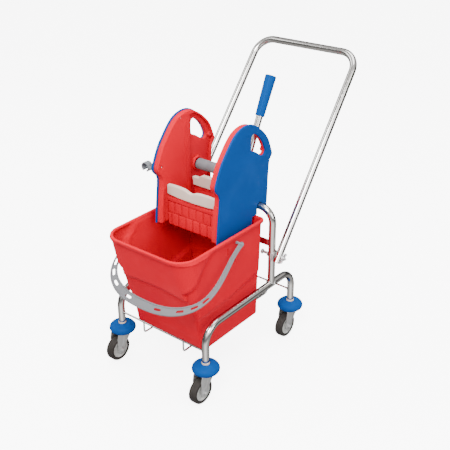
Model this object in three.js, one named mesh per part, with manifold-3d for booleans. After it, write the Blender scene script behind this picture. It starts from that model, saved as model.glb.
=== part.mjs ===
// Single-bucket cleaning trolley with a lever press wringer.
// Millimetres, +Z up, +X to the right, front towards -Y, push handle towards +Y.
// The origin lies on the floor at the centre of the footprint.
import * as THREE from 'three';
import { mergeVertices } from 'three/addons/utils/BufferGeometryUtils.js';
import Module from 'manifold-3d';

const wasm = await Module();
wasm.setup();

// ---------------------------------------------------------------- driving dimensions
const GAP = 0.3; // clearance left between pieces that touch

const TRACK = 350; // between left and right caster axes
const WHEELBASE = 444; // between front and rear caster axes
const TUBE_R = 11.5;
const TUBE_BORE = 10; // inner radius of the frame tubes
const WIRE_R = 3;

const WHEEL_R = 41;
const TYRE_W = 27;
const RIM_R = 30;
const TRAIL = 27; // wheel axle behind the swivel axis
const AXLE_Z = 24.5; // the floor lies one wheel radius below the axle
const AXLE_R = 4;
const FORK_T = 3;
const FORK_CLEAR = 1.6; // between tyre side and fork cheek
const CROWN_BOTTOM = 79.6;
const CROWN_T = 3.6;
const SWIVEL_R = 17;
const BUMPER_R = 43;
const BUMPER_BOTTOM = 84;
const BUMPER_EDGE = 9;
const BUMPER_TOP = 112;
const STEM_R = 7;

const SIDE_TUBE_Z = 228;
const SIDE_BEND_R = 58;
const LEG_BOTTOM = BUMPER_TOP + GAP;
const ARCH_Y = 107;
const ARCH_Z = 489;
const ARCH_BEND_R = 46;
const CROSS_WIRE_Z = 150;
const RAIL_X = 82;
const RAIL_Z = 106;
const RAIL_BEND_R = 9;
const STRAP_Z = 372;
const STRAP_H = 22;
const STRAP_T = 4;

const PIVOT_Z = 334; // bolt that carries the push handle
const HANDLE_LEG_X = 201;
const HANDLE_TOP_X = 193;
const HANDLE_TOP_Y = 537;
const HANDLE_TOP_Z = 882;
const HANDLE_BEND_R = 60;
const HANDLE_FOOT = 20;
const BOLT_R = 3.5;
const BOLT_INNER = 141;
const BOLT_OUTER = 229;
const NUT_R = 8;
const NUT_L = 10;
const WING_REACH = 19;

const BUCKET_TOP = 463;
const BUCKET_BOTTOM = RAIL_Z + WIRE_R + GAP;
const RIM_HALF = 160;
const RIM_FRONT = -296;
const RIM_REAR = 93;
const BASE_HALF = 140;
const BASE_FRONT = -190;
const BASE_REAR = 87;
const RIM_CORNER = 58; // front corners of the bucket
const BASE_CORNER = 18;
const CORNER_POWER = 2.2; // the front corners open up towards the rim
const RIM_BACK_CORNER = 12;
const BASE_BACK_CORNER = 9;
const WALL = 4;
const FLOOR_T = 5;
const FLOOR_TUCK = 5; // the walls lean out from the floor
const ROLL_H = 12;
const ROLL_OUT = 6;
const STEP_Z = 262; // ledge that runs round the body
const STEP_IN = 5;
const CHEST_Z = 362; // level between the ledge and the rim

const BAIL_Y = -45;
const BAIL_Z = 434;
const BAIL_TILT = 30; // degrees below the horizontal
const BAIL_ARM_X = 171;
const BAIL_WIDE_X = 187;
const BAIL_ARM = 160;
const BAIL_REACH = 294;
const BAIL_POWER = 2.4;
const BAIL_T = 5;
const BAIL_WIDTHS = [
  [0, 15],
  [30, 16],
  [110, 22],
  [215, 24],
  [280, 30],
  [294, 31],
]; // reach along the band, width
const BAIL_PIN_R = 5;
const BAIL_SLOT_L = 24;
const BAIL_SLOT_W = 8;

const COVER_OUT = 125; // outer face of the wringer side covers
const COVER_T = 7;
const PANEL_IN = 100;
const PANEL_INSET = 3;
const HOOK_FRONT = 94.8;
const HOOK_REAR = 119.4;
const HOOK_TIP = 144;
const HOOK_TIP_Z = 474;
const SIDE_BOTTOM = 436;
const SIDE_BOTTOM_REAR = 70;
const SHAFT_Y = 84;
const SHAFT_Z = 581;
const SHAFT_R = 17.5;
const JOURNAL_R = 9;
const LEVER_X = 75;
const LEVER_LEAN = 26; // degrees behind the vertical
const LEVER_R = 10.5;
const GRIP_START = 190;
const GRIP_END = 316;
const GRIP_R_LOW = 13.5;
const GRIP_R_TOP = 17;
const TRAY_Z = 432;
const TRAY_T = 6;
const GRILLE_Y = -66;
const GRILLE_T = 8;
const GRILLE_TOP = 521;
const BRICK_COLUMNS = 7; // raised blocks on the front of the grille, in two staggered rows
const BRICK_GROOVE = 5;
const BRICK_RAISE = 2.5;
const BRICK_TOP = 504;
const BRICK_SPLIT = 468;
const LIP_TOP = 564;
const LIP_T = 13;
const LIP_BOW = 10;
const LIP_NOTCH = 14;
const PRESS_Y = 58;
const PRESS_T = 9;
const PRESS_TOP = 534;
const PRESS_LIP_TOP = 579;
const PRESS_LIP_SIDE = 547;
const CLIP_Y = -98;
const CLIP_Z = 618;
const CLIP_R = 15;

// ---------------------------------------------------------------- helpers
const rad = THREE.MathUtils.degToRad;

const MATERIALS = {
  chrome: { color: 0xc9cbcc, roughness: 0.18, metalness: 1 },
  zinc: { color: 0xa9abab, roughness: 0.35, metalness: 0.9 },
  red_plastic: { color: 0xd8232e, roughness: 0.4, metalness: 0 },
  blue_plastic: { color: 0x0a66b0, roughness: 0.4, metalness: 0 },
  grey_plastic: { color: 0xa2a6aa, roughness: 0.5, metalness: 0 },
  ivory_plastic: { color: 0xdcd2c6, roughness: 0.5, metalness: 0 },
  hub_plastic: { color: 0xaeaeab, roughness: 0.5, metalness: 0 },
  tyre_rubber: { color: 0x55504c, roughness: 0.8, metalness: 0 },
};

function solid(geometry) {
  const plain = geometry.index ? geometry.toNonIndexed() : geometry.clone();
  plain.deleteAttribute('normal');
  plain.deleteAttribute('uv');
  const merged = mergeVertices(plain, 1e-4);
  const mesh = new wasm.Mesh({
    numProp: 3,
    vertProperties: new Float32Array(merged.attributes.position.array),
    triVerts: new Uint32Array(merged.index.array),
  });
  const body = new wasm.Manifold(mesh);
  return body.volume() < 0 ? flip(merged) : body;
}

function flip(merged) {
  const turned = Uint32Array.from(merged.index.array);
  for (let i = 0; i < turned.length; i += 3) {
    [turned[i], turned[i + 1]] = [turned[i + 1], turned[i]];
  }
  return new wasm.Manifold(
    new wasm.Mesh({
      numProp: 3,
      vertProperties: new Float32Array(merged.attributes.position.array),
      triVerts: turned,
    }),
  );
}

function geometryOf(body) {
  const mesh = body.getMesh();
  const points = new Float32Array(mesh.numVert * 3);
  for (let i = 0; i < mesh.numVert; i += 1) {
    for (let k = 0; k < 3; k += 1) {
      points[i * 3 + k] = mesh.vertProperties[i * mesh.numProp + k];
    }
  }
  const geometry = new THREE.BufferGeometry();
  geometry.setAttribute('position', new THREE.BufferAttribute(points, 3));
  geometry.setIndex(new THREE.BufferAttribute(Uint32Array.from(mesh.triVerts), 1));
  return geometry;
}

function piece(name, body, slot) {
  const flat = geometryOf(body).toNonIndexed();
  flat.computeVertexNormals();
  const mesh = new THREE.Mesh(flat, new THREE.MeshStandardMaterial(MATERIALS[slot]));
  mesh.name = name;
  return mesh;
}

function union(bodies) {
  return bodies.reduce((a, b) => a.add(b));
}

function cut(body, tools) {
  return tools.reduce((a, b) => a.subtract(b), body);
}

// A rod along X, Y or Z between two stations.
function rod(axis, radius, from, to, u, v, sides = 16) {
  const geometry = new THREE.CylinderGeometry(radius, radius, to - from, sides);
  const mid = (from + to) / 2;
  if (axis === 'x') {
    geometry.rotateZ(Math.PI / 2);
    geometry.translate(mid, u, v);
  } else if (axis === 'y') {
    geometry.translate(u, mid, v);
  } else {
    geometry.rotateX(Math.PI / 2);
    geometry.translate(u, v, mid);
  }
  return solid(geometry);
}

function box(x0, x1, y0, y1, z0, z1) {
  const geometry = new THREE.BoxGeometry(x1 - x0, y1 - y0, z1 - z0);
  geometry.translate((x0 + x1) / 2, (y0 + y1) / 2, (z0 + z1) / 2);
  return solid(geometry);
}

// A turned body: profile pairs are radius and height along +Z.
function turned(profile, sides) {
  const points = profile.map(([r, h]) => new THREE.Vector2(r, h));
  const geometry = new THREE.LatheGeometry(points, sides);
  geometry.rotateX(Math.PI / 2);
  return solid(geometry);
}

// A turned ring whose axis is X: the profile is a closed loop of radius and station.
function ringX(profile, sides) {
  const loop = [...profile, profile[0]].map(([r, h]) => new THREE.Vector2(r, h));
  const geometry = new THREE.LatheGeometry(loop, sides);
  geometry.rotateZ(-Math.PI / 2);
  return solid(geometry);
}

// Centreline with exact stations, so straight runs need no extra rings.
class Centreline extends THREE.Curve {
  constructor(points, tangents) {
    super();
    this.points = points;
    this.tangents = tangents;
  }

  station(u) {
    return Math.round(u * (this.points.length - 1));
  }

  getPoint(u) {
    return this.points[this.station(u)].clone();
  }

  getPointAt(u) {
    return this.getPoint(u);
  }

  getTangentAt(u) {
    return this.tangents[this.station(u)].clone();
  }
}

// Straight runs between corners, each corner rounded with its own radius.
function bentLine(corners, radii, facets) {
  const points = [];
  const tangents = [];
  const push = (p, t) => {
    points.push(p.clone());
    tangents.push(t.clone().normalize());
  };
  const last = corners.length - 1;
  push(corners[0], corners[1].clone().sub(corners[0]));
  for (let i = 1; i < last; i += 1) {
    const before = corners[i].clone().sub(corners[i - 1]).normalize();
    const after = corners[i + 1].clone().sub(corners[i]).normalize();
    const turn = before.angleTo(after);
    const setback = radii[i - 1] * Math.tan(turn / 2);
    const start = corners[i].clone().addScaledVector(before, -setback);
    const inward = after.clone().addScaledVector(before, -after.dot(before)).normalize();
    const centre = start.clone().addScaledVector(inward, radii[i - 1]);
    for (let k = 0; k <= facets; k += 1) {
      const a = (turn * k) / facets;
      const p = centre
        .clone()
        .addScaledVector(inward, -radii[i - 1] * Math.cos(a))
        .addScaledVector(before, radii[i - 1] * Math.sin(a));
      const t = before.clone().multiplyScalar(Math.cos(a)).addScaledVector(inward, Math.sin(a));
      push(p, t);
    }
  }
  push(corners[last], corners[last].clone().sub(corners[last - 1]));
  return new Centreline(points, tangents);
}

function bentRod(corners, radii, radius, sides, facets) {
  const line = bentLine(corners.map((c) => new THREE.Vector3(...c)), radii, facets);
  const ring = [];
  for (let k = 0; k < sides; k += 1) {
    const a = (2 * Math.PI * k) / sides;
    ring.push(new THREE.Vector2(radius * Math.cos(a), radius * Math.sin(a)));
  }
  const geometry = new THREE.ExtrudeGeometry(new THREE.Shape(ring), {
    steps: line.points.length - 1,
    bevelEnabled: false,
    extrudePath: line,
  });
  return solid(geometry);
}

// A bent tube that is open at both ends.
function bentTube(corners, radii, sides, facets) {
  const skin = bentRod(corners, radii, TUBE_R, sides, facets);
  const longer = corners.map((c) => new THREE.Vector3(...c));
  const n = longer.length;
  const overrun = 2;
  const lead = longer[0].clone().sub(longer[1]).setLength(overrun);
  const tail = longer[n - 1].clone().sub(longer[n - 2]).setLength(overrun);
  longer[0].add(lead);
  longer[n - 1].add(tail);
  const bore = bentRod(longer.map((c) => c.toArray()), radii, TUBE_BORE, 8, facets);
  return skin.subtract(bore);
}

// A flat outline in the Y-Z plane given thickness along X.
function slabX(shape, x0, x1, curveSegments = 8) {
  const geometry = new THREE.ExtrudeGeometry(shape, {
    depth: x1 - x0,
    bevelEnabled: false,
    curveSegments,
  });
  const turn = new THREE.Matrix4().makeBasis(
    new THREE.Vector3(0, 1, 0),
    new THREE.Vector3(0, 0, 1),
    new THREE.Vector3(1, 0, 0),
  );
  geometry.applyMatrix4(turn);
  geometry.translate(x0, 0, 0);
  return solid(geometry);
}

// An outline in the X-Z plane given thickness along Y.
function slabY(shape, y0, y1, curveSegments = 8) {
  const geometry = new THREE.ExtrudeGeometry(shape, {
    depth: y1 - y0,
    bevelEnabled: false,
    curveSegments,
  });
  geometry.rotateX(Math.PI / 2);
  geometry.translate(0, y1, 0);
  return solid(geometry);
}

function polygon(pairs) {
  return new THREE.Shape(pairs.map(([u, v]) => new THREE.Vector2(u, v)));
}

function smoothLoop(pairs, count) {
  const loop = new THREE.SplineCurve(pairs.map(([u, v]) => new THREE.Vector2(u, v)));
  return loop.getPoints(count);
}

const root = new THREE.Group();
root.name = 'mop_bucket_trolley';
const SIDES = [
  ['left', -1],
  ['right', 1],
];

// ---------------------------------------------------------------- casters
function bumperBody() {
  const rings = [
    [STEM_R + GAP, BUMPER_BOTTOM],
    [BUMPER_R - 3, BUMPER_BOTTOM],
    [BUMPER_R, BUMPER_BOTTOM + 3],
    [BUMPER_R, BUMPER_BOTTOM + BUMPER_EDGE],
    [BUMPER_R - 4, BUMPER_BOTTOM + BUMPER_EDGE + 5],
    [BUMPER_R * 0.66, BUMPER_BOTTOM + BUMPER_EDGE + 11],
    [TUBE_R + 3, BUMPER_TOP],
    [STEM_R + GAP, BUMPER_TOP],
  ];
  return turned([...rings, rings[0]], 24);
}

function forkBody() {
  const inner = TYRE_W / 2 + FORK_CLEAR;
  const cheek = new THREE.Shape();
  cheek.moveTo(13, CROWN_BOTTOM + CROWN_T);
  cheek.lineTo(13, CROWN_BOTTOM - 8);
  cheek.lineTo(-TRAIL + 12, AXLE_Z);
  cheek.absarc(-TRAIL, AXLE_Z, 12, 0, -Math.PI, true);
  cheek.lineTo(-TRAIL - 9, CROWN_BOTTOM);
  cheek.lineTo(-TRAIL - 6, CROWN_BOTTOM + CROWN_T);
  const cheeks = [-inner - FORK_T, inner].map((x) => slabX(cheek, x, x + FORK_T, 5));
  const crown = box(
    -inner - FORK_T / 2,
    inner + FORK_T / 2,
    -TRAIL - 6,
    13,
    CROWN_BOTTOM,
    CROWN_BOTTOM + CROWN_T,
  );
  const stem = rod('z', STEM_R, CROWN_BOTTOM + 1, BUMPER_TOP - 2, 0, 0, 10);
  const swivel = rod('z', SWIVEL_R, CROWN_BOTTOM + 1, CROWN_BOTTOM + CROWN_T, 0, 0, 14);
  const hole = rod('x', AXLE_R + GAP, -inner - 9, inner + 9, -TRAIL, AXLE_Z, 12);
  return cut(union([...cheeks, crown, swivel, stem]), [hole]);
}

function tyreBody() {
  const h = TYRE_W / 2;
  return ringX(
    [
      [RIM_R + GAP, -h + 1],
      [WHEEL_R - 5, -h],
      [WHEEL_R - 1, -h + 3.4],
      [WHEEL_R, -h + 8],
      [WHEEL_R, h - 8],
      [WHEEL_R - 1, h - 3.4],
      [WHEEL_R - 5, h],
      [RIM_R + GAP, h - 1],
    ],
    24,
  );
}

function hubBody() {
  const h = TYRE_W / 2;
  return ringX(
    [
      [AXLE_R + GAP, -h - 1],
      [9, -h - 1],
      [11, -4],
      [RIM_R - 5, -4],
      [RIM_R, -h + 2.6],
      [RIM_R, h - 2.6],
      [RIM_R - 5, 4],
      [11, 4],
      [9, h + 1],
      [AXLE_R + GAP, h + 1],
    ],
    24,
  );
}

function axleBody() {
  const seat = TYRE_W / 2 + FORK_CLEAR + FORK_T + GAP;
  const head = [
    [0, -seat - 4],
    [5.5, -seat - 4],
    [7.5, -seat - 2.6],
    [7.5, -seat],
    [AXLE_R, -seat],
    [AXLE_R, seat],
    [7, seat],
    [7, seat + 4.5],
    [0, seat + 4.5],
  ];
  const points = head.map(([r, h]) => new THREE.Vector2(r, h));
  const geometry = new THREE.LatheGeometry(points, 10);
  geometry.rotateZ(-Math.PI / 2);
  return solid(geometry);
}

const bumper = bumperBody();
const fork = forkBody();
const tyre = tyreBody();
const hub = hubBody();
const axle = axleBody();

for (const [end, ySign] of [
  ['front', -1],
  ['rear', 1],
]) {
  for (const [side, xSign] of SIDES) {
    const tag = `${end}_${side}`;
    const caster = new THREE.Group();
    caster.name = `caster_${tag}`;
    caster.position.set((xSign * TRACK) / 2, (ySign * WHEELBASE) / 2, 0);
    caster.add(piece(`bumper_${tag}`, bumper, 'blue_plastic'));
    caster.add(piece(`fork_${tag}`, fork, 'zinc'));
    const wheel = new THREE.Group();
    wheel.name = `wheel_${tag}`;
    wheel.position.set(0, -TRAIL, AXLE_Z);
    wheel.add(piece(`tyre_${tag}`, tyre, 'tyre_rubber'));
    wheel.add(piece(`hub_${tag}`, hub, 'hub_plastic'));
    wheel.add(piece(`axle_${tag}`, axle, 'zinc'));
    caster.add(wheel);
    root.add(caster);
  }
}

// ---------------------------------------------------------------- tube frame
const halfTrack = TRACK / 2;
const halfBase = WHEELBASE / 2;

for (const [side, s] of SIDES) {
  const x = s * halfTrack;
  const tube = bentTube(
    [
      [x, -halfBase, LEG_BOTTOM],
      [x, -halfBase, SIDE_TUBE_Z],
      [x, halfBase, SIDE_TUBE_Z],
      [x, halfBase, LEG_BOTTOM],
    ],
    [SIDE_BEND_R, SIDE_BEND_R],
    14,
    6,
  );
  root.add(piece(`side_tube_${side}`, tube, 'chrome'));
}

const boltHole = rod('x', BOLT_R + GAP, -240, 240, ARCH_Y, PIVOT_Z, 12);
const arch = cut(
  bentTube(
    [
      [-halfTrack, ARCH_Y, SIDE_TUBE_Z],
      [-halfTrack, ARCH_Y, ARCH_Z],
      [halfTrack, ARCH_Y, ARCH_Z],
      [halfTrack, ARCH_Y, SIDE_TUBE_Z],
    ],
    [ARCH_BEND_R, ARCH_BEND_R],
    14,
    6,
  ),
  [
    rod('y', TUBE_R + GAP, ARCH_Y - 40, ARCH_Y + 40, -halfTrack, SIDE_TUBE_Z, 16),
    rod('y', TUBE_R + GAP, ARCH_Y - 40, ARCH_Y + 40, halfTrack, SIDE_TUBE_Z, 16),
    box(-220, 220, ARCH_Y - 30, ARCH_Y + 30, SIDE_TUBE_Z - 40, SIDE_TUBE_Z),
    boltHole,
  ],
);
root.add(piece('wringer_arch', arch, 'chrome'));

const wireEnd = halfTrack - TUBE_R - GAP;
root.add(
  piece('front_cross_wire', rod('x', WIRE_R, -wireEnd, wireEnd, -halfBase, CROSS_WIRE_Z, 8), 'chrome'),
  piece('rear_cross_wire', rod('x', WIRE_R, -wireEnd, wireEnd, halfBase, CROSS_WIRE_Z, 8), 'chrome'),
);

for (const [side, s] of SIDES) {
  const railTop = CROSS_WIRE_Z - WIRE_R - GAP;
  const rail = bentRod(
    [
      [s * RAIL_X, -halfBase, railTop],
      [s * RAIL_X, -halfBase, RAIL_Z],
      [s * RAIL_X, halfBase, RAIL_Z],
      [s * RAIL_X, halfBase, railTop],
    ],
    [RAIL_BEND_R, RAIL_BEND_R],
    WIRE_R,
    8,
    3,
  );
  root.add(piece(`bucket_rail_${side}`, rail, 'chrome'));
}

const strapEnd = halfTrack - TUBE_R - GAP;
root.add(
  piece(
    'rear_strap',
    box(
      -strapEnd,
      strapEnd,
      ARCH_Y - STRAP_T / 2,
      ARCH_Y + STRAP_T / 2,
      STRAP_Z - STRAP_H / 2,
      STRAP_Z + STRAP_H / 2,
    ),
    'chrome',
  ),
);

// ---------------------------------------------------------------- push handle
const run = HANDLE_TOP_Y - ARCH_Y;
const rise = HANDLE_TOP_Z - PIVOT_Z;
const legLength = Math.hypot(run, rise);
const footY = ARCH_Y - (run / legLength) * HANDLE_FOOT;
const footZ = PIVOT_Z - (rise / legLength) * HANDLE_FOOT;
const handle = cut(
  bentTube(
    [
      [-HANDLE_LEG_X, footY, footZ],
      [-HANDLE_TOP_X, HANDLE_TOP_Y, HANDLE_TOP_Z],
      [HANDLE_TOP_X, HANDLE_TOP_Y, HANDLE_TOP_Z],
      [HANDLE_LEG_X, footY, footZ],
    ],
    [HANDLE_BEND_R, HANDLE_BEND_R],
    14,
    7,
  ),
  [boltHole],
);
root.add(piece('push_handle', handle, 'chrome'));

for (const [side, s] of SIDES) {
  const faceIn = halfTrack + 2;
  const faceOut = HANDLE_LEG_X - TUBE_R - GAP * 2;
  const saddle = cut(
    box(
      Math.min(s * faceIn, s * faceOut),
      Math.max(s * faceIn, s * faceOut),
      ARCH_Y - 15,
      ARCH_Y + 15,
      PIVOT_Z - 14,
      PIVOT_Z + 14,
    ),
    [rod('z', TUBE_R + GAP, PIVOT_Z - 30, PIVOT_Z + 30, s * halfTrack, ARCH_Y, 16), boltHole],
  );
  root.add(piece(`clamp_saddle_${side}`, saddle, 'zinc'));

  const shank = rod(
    'x',
    BOLT_R,
    Math.min(s * BOLT_INNER, s * BOLT_OUTER),
    Math.max(s * BOLT_INNER, s * BOLT_OUTER),
    ARCH_Y,
    PIVOT_Z,
    12,
  );
  const headIn = BOLT_INNER - 5;
  const head = rod(
    'x',
    6.5,
    Math.min(s * headIn, s * (BOLT_INNER + 1)),
    Math.max(s * headIn, s * (BOLT_INNER + 1)),
    ARCH_Y,
    PIVOT_Z,
    6,
  );
  root.add(piece(`handle_bolt_${side}`, shank.add(head), 'zinc'));

  const nutIn = HANDLE_LEG_X + TUBE_R + GAP * 3;
  const nutX0 = Math.min(s * nutIn, s * (nutIn + NUT_L));
  const nutX1 = Math.max(s * nutIn, s * (nutIn + NUT_L));
  const barrel = rod('x', NUT_R, nutX0, nutX1, ARCH_Y, PIVOT_Z, 12);
  const wing = new THREE.Shape();
  wing.moveTo(4, -3.2);
  wing.lineTo(WING_REACH - 5, -5);
  wing.absarc(WING_REACH - 5, 0, 5, -Math.PI / 2, Math.PI / 2, false);
  wing.lineTo(4, 3.2);
  const wings = [1, -1].map((dir) => {
    const geometry = new THREE.ExtrudeGeometry(wing, {
      depth: 3,
      bevelEnabled: false,
      curveSegments: 3,
    });
    geometry.translate(0, 0, -1.5);
    geometry.rotateZ(dir > 0 ? 0 : Math.PI);
    const turn = new THREE.Matrix4().makeBasis(
      new THREE.Vector3(0, Math.cos(0.6), Math.sin(0.6)),
      new THREE.Vector3(1, 0, 0),
      new THREE.Vector3(0, Math.sin(0.6), -Math.cos(0.6)),
    );
    geometry.applyMatrix4(turn);
    geometry.translate((nutX0 + nutX1) / 2, ARCH_Y, PIVOT_Z);
    return solid(geometry);
  });
  const bore = rod('x', BOLT_R + GAP, nutX0 - 5, nutX1 + 5, ARCH_Y, PIVOT_Z, 12);
  root.add(piece(`wing_nut_${side}`, cut(union([barrel, ...wings]), [bore]), 'zinc'));
}

// ---------------------------------------------------------------- bucket
const mix = THREE.MathUtils.lerp;

// Half width, front and rear of the bucket body at a height, measured to its outer face.
function bucketAt(z) {
  const t = THREE.MathUtils.clamp((z - BUCKET_BOTTOM) / (BUCKET_TOP - BUCKET_BOTTOM), 0, 1);
  const below = THREE.MathUtils.smoothstep(z, STEP_Z - 8, STEP_Z + 8);
  const step = STEP_IN * (1 - below) * Math.sqrt(Math.max(t, 0) * 2.2);
  return {
    half: mix(BASE_HALF, RIM_HALF - ROLL_OUT, t) - step,
    front: mix(BASE_FRONT, RIM_FRONT + ROLL_OUT, t) + step * 1.6,
    rear: mix(BASE_REAR, RIM_REAR - ROLL_OUT, t),
    corner: mix(BASE_CORNER, RIM_CORNER, t ** CORNER_POWER),
    back: mix(BASE_BACK_CORNER, RIM_BACK_CORNER, t),
  };
}

const CORNER_FACETS = 5;

function roundedLoop(half, front, rear, corner, back) {
  const loop = [];
  const centres = [
    [half - corner, front + corner, corner, -Math.PI / 2],
    [half - back, rear - back, back, 0],
    [-half + back, rear - back, back, Math.PI / 2],
    [-half + corner, front + corner, corner, Math.PI],
  ];
  for (const [cx, cy, r, start] of centres) {
    for (let k = 0; k <= CORNER_FACETS; k += 1) {
      const a = start + (Math.PI / 2) * (k / CORNER_FACETS);
      loop.push([cx + r * Math.cos(a), cy + r * Math.sin(a)]);
    }
  }
  return loop;
}

// Rounded box whose section follows a size rule along Z.
function lofted(levels, sizeAt) {
  const unit = roundedLoop(1, -1, 1, 0.5, 0.5);
  const geometry = new THREE.ExtrudeGeometry(polygon(unit), {
    depth: levels.length - 1,
    steps: levels.length - 1,
    bevelEnabled: false,
  });
  const position = geometry.attributes.position;
  const loops = levels.map((z) => {
    const s = sizeAt(z);
    return roundedLoop(s.half, s.front, s.rear, s.corner, s.back);
  });
  for (let i = 0; i < position.count; i += 1) {
    const level = Math.round(position.getZ(i));
    const x = position.getX(i);
    const y = position.getY(i);
    let nearest = 0;
    let best = Infinity;
    unit.forEach(([ux, uy], k) => {
      const d = (ux - x) ** 2 + (uy - y) ** 2;
      if (d < best) {
        best = d;
        nearest = k;
      }
    });
    const [px, py] = loops[level][nearest];
    position.setXYZ(i, px, py, levels[level]);
  }
  return solid(geometry);
}

const bodyLevels = [
  BUCKET_BOTTOM,
  BUCKET_BOTTOM + 4,
  STEP_Z - 60,
  STEP_Z - 8,
  STEP_Z + 8,
  CHEST_Z,
  BUCKET_TOP - 3,
];
const outer = lofted(bodyLevels, (z) => {
  const s = bucketAt(z);
  const rise0 = z - BUCKET_BOTTOM;
  const tuck = rise0 < 1 ? 9 : rise0 < 6 ? 3 : 0;
  return {
    half: s.half - tuck,
    front: s.front + tuck,
    rear: s.rear - tuck,
    corner: s.corner,
    back: s.back,
  };
});
const floorLevel = BUCKET_BOTTOM + FLOOR_T;
const innerLevels = [floorLevel, ...bodyLevels.slice(2, -1), BUCKET_TOP + 1];
const inner = lofted(innerLevels, (z) => {
  const s = bucketAt(z);
  const inset = WALL + (z === floorLevel ? FLOOR_TUCK : 0);
  return {
    half: s.half - inset,
    front: s.front + inset,
    rear: s.rear - inset,
    corner: s.corner - WALL,
    back: s.back - WALL,
  };
});
const rimLevels = [
  BUCKET_TOP - ROLL_H,
  BUCKET_TOP - ROLL_H + 2,
  BUCKET_TOP - 3,
  BUCKET_TOP,
];
const rollOut = [ROLL_OUT - 2, ROLL_OUT, ROLL_OUT, ROLL_OUT - 3];
const rim = lofted(rimLevels, (z) => {
  const s = bucketAt(z);
  const grow = rollOut[rimLevels.indexOf(z)];
  return {
    half: s.half + grow,
    front: s.front - grow,
    rear: s.rear + grow,
    corner: s.corner + grow,
    back: s.back + grow,
  };
});
const pinHole = rod('x', BAIL_PIN_R + GAP, -220, 220, BAIL_Y, BAIL_Z, 14);
const bosses = SIDES.map(([, s]) =>
  rod(
    'x',
    11,
    Math.min(s * 148, s * (RIM_HALF - 1)),
    Math.max(s * 148, s * (RIM_HALF - 1)),
    BAIL_Y,
    BAIL_Z,
    14,
  ),
);
root.add(piece('bucket', cut(union([outer, rim, ...bosses]), [inner, pinHole]), 'red_plastic'));

// ---------------------------------------------------------------- bail handle
// Centre of the band in its own plane: u across, v outward from the pivots.
function bailPoint(t) {
  if (t <= 1) {
    const bulge = THREE.MathUtils.smoothstep(t, 0.1, 1);
    return [mix(BAIL_ARM_X, BAIL_WIDE_X, bulge), BAIL_ARM * t];
  }
  const a = ((t - 1) * Math.PI) / 2;
  const u = BAIL_WIDE_X * Math.cos(a) ** (2 / BAIL_POWER);
  const v = BAIL_ARM + (BAIL_REACH - BAIL_ARM) * Math.sin(a) ** (2 / BAIL_POWER);
  return [u, v];
}

function bailWidth(v) {
  const i = Math.max(1, BAIL_WIDTHS.findIndex(([reach]) => v <= reach));
  const [v0, w0] = BAIL_WIDTHS[i - 1];
  const [v1, w1] = BAIL_WIDTHS[i];
  return mix(w0, w1, THREE.MathUtils.clamp((v - v0) / (v1 - v0), 0, 1));
}

function bailHalf() {
  const line = [];
  for (let k = 0; k <= 4; k += 1) {
    line.push(bailPoint(k / 4));
  }
  for (let k = 1; k <= 9; k += 1) {
    line.push(bailPoint(1 + k / 9));
  }
  return line;
}

function bailBody() {
  const half = bailHalf();
  half[half.length - 1][0] = 0;
  const line = [...half, ...half.slice(0, -1).reverse().map(([u, v]) => [-u, v])];
  const left = [];
  const right = [];
  line.forEach(([u, v], i) => {
    const a = line[Math.max(i - 1, 0)];
    const b = line[Math.min(i + 1, line.length - 1)];
    const length = Math.hypot(b[0] - a[0], b[1] - a[1]);
    const nu = (b[1] - a[1]) / length;
    const nv = -(b[0] - a[0]) / length;
    const w = bailWidth(Math.min(v, BAIL_REACH)) / 2;
    left.push([u + nu * w, v + nv * w]);
    right.push([u - nu * w, v - nv * w]);
  });
  const band = new THREE.ExtrudeGeometry(polygon([...left, ...right.reverse()]), {
    depth: BAIL_T,
    bevelEnabled: false,
  });
  band.translate(0, 0, -BAIL_T / 2);
  const slots = [];
  for (const s of [-1, 1]) {
    for (const t of [1.18, 1.36, 1.56, 1.84]) {
      const [u, v] = bailPoint(t);
      const [u2, v2] = bailPoint(t + 0.02);
      const slot = new THREE.BoxGeometry(BAIL_SLOT_L, BAIL_SLOT_W, BAIL_T * 3);
      slot.rotateZ(Math.atan2(v2 - v, u2 - u) * s);
      slot.translate(u * s, v, 0);
      slots.push(slot);
    }
  }
  const pins = SIDES.map(([, s]) => {
    const inside = RIM_HALF - ROLL_OUT - WALL - 4;
    const eye = rod('x', 8, BAIL_ARM_X - 8, BAIL_ARM_X + 7, 0, 0, 14);
    const pin = rod('x', BAIL_PIN_R, inside, BAIL_ARM_X, 0, 0, 12);
    const both = eye.add(pin);
    return s > 0 ? both : both.mirror([1, 0, 0]);
  });
  const tilt = new THREE.Matrix4().makeBasis(
    new THREE.Vector3(1, 0, 0),
    new THREE.Vector3(0, -Math.cos(rad(BAIL_TILT)), -Math.sin(rad(BAIL_TILT))),
    new THREE.Vector3(0, Math.sin(rad(BAIL_TILT)), -Math.cos(rad(BAIL_TILT))),
  );
  band.applyMatrix4(tilt);
  slots.forEach((slot) => slot.applyMatrix4(tilt));
  const ring = cut(solid(band), slots.map(solid));
  return union([ring, ...pins]);
}

const bail = piece('bail_handle', bailBody(), 'grey_plastic');
bail.position.set(0, BAIL_Y, BAIL_Z);
root.add(bail);

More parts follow.
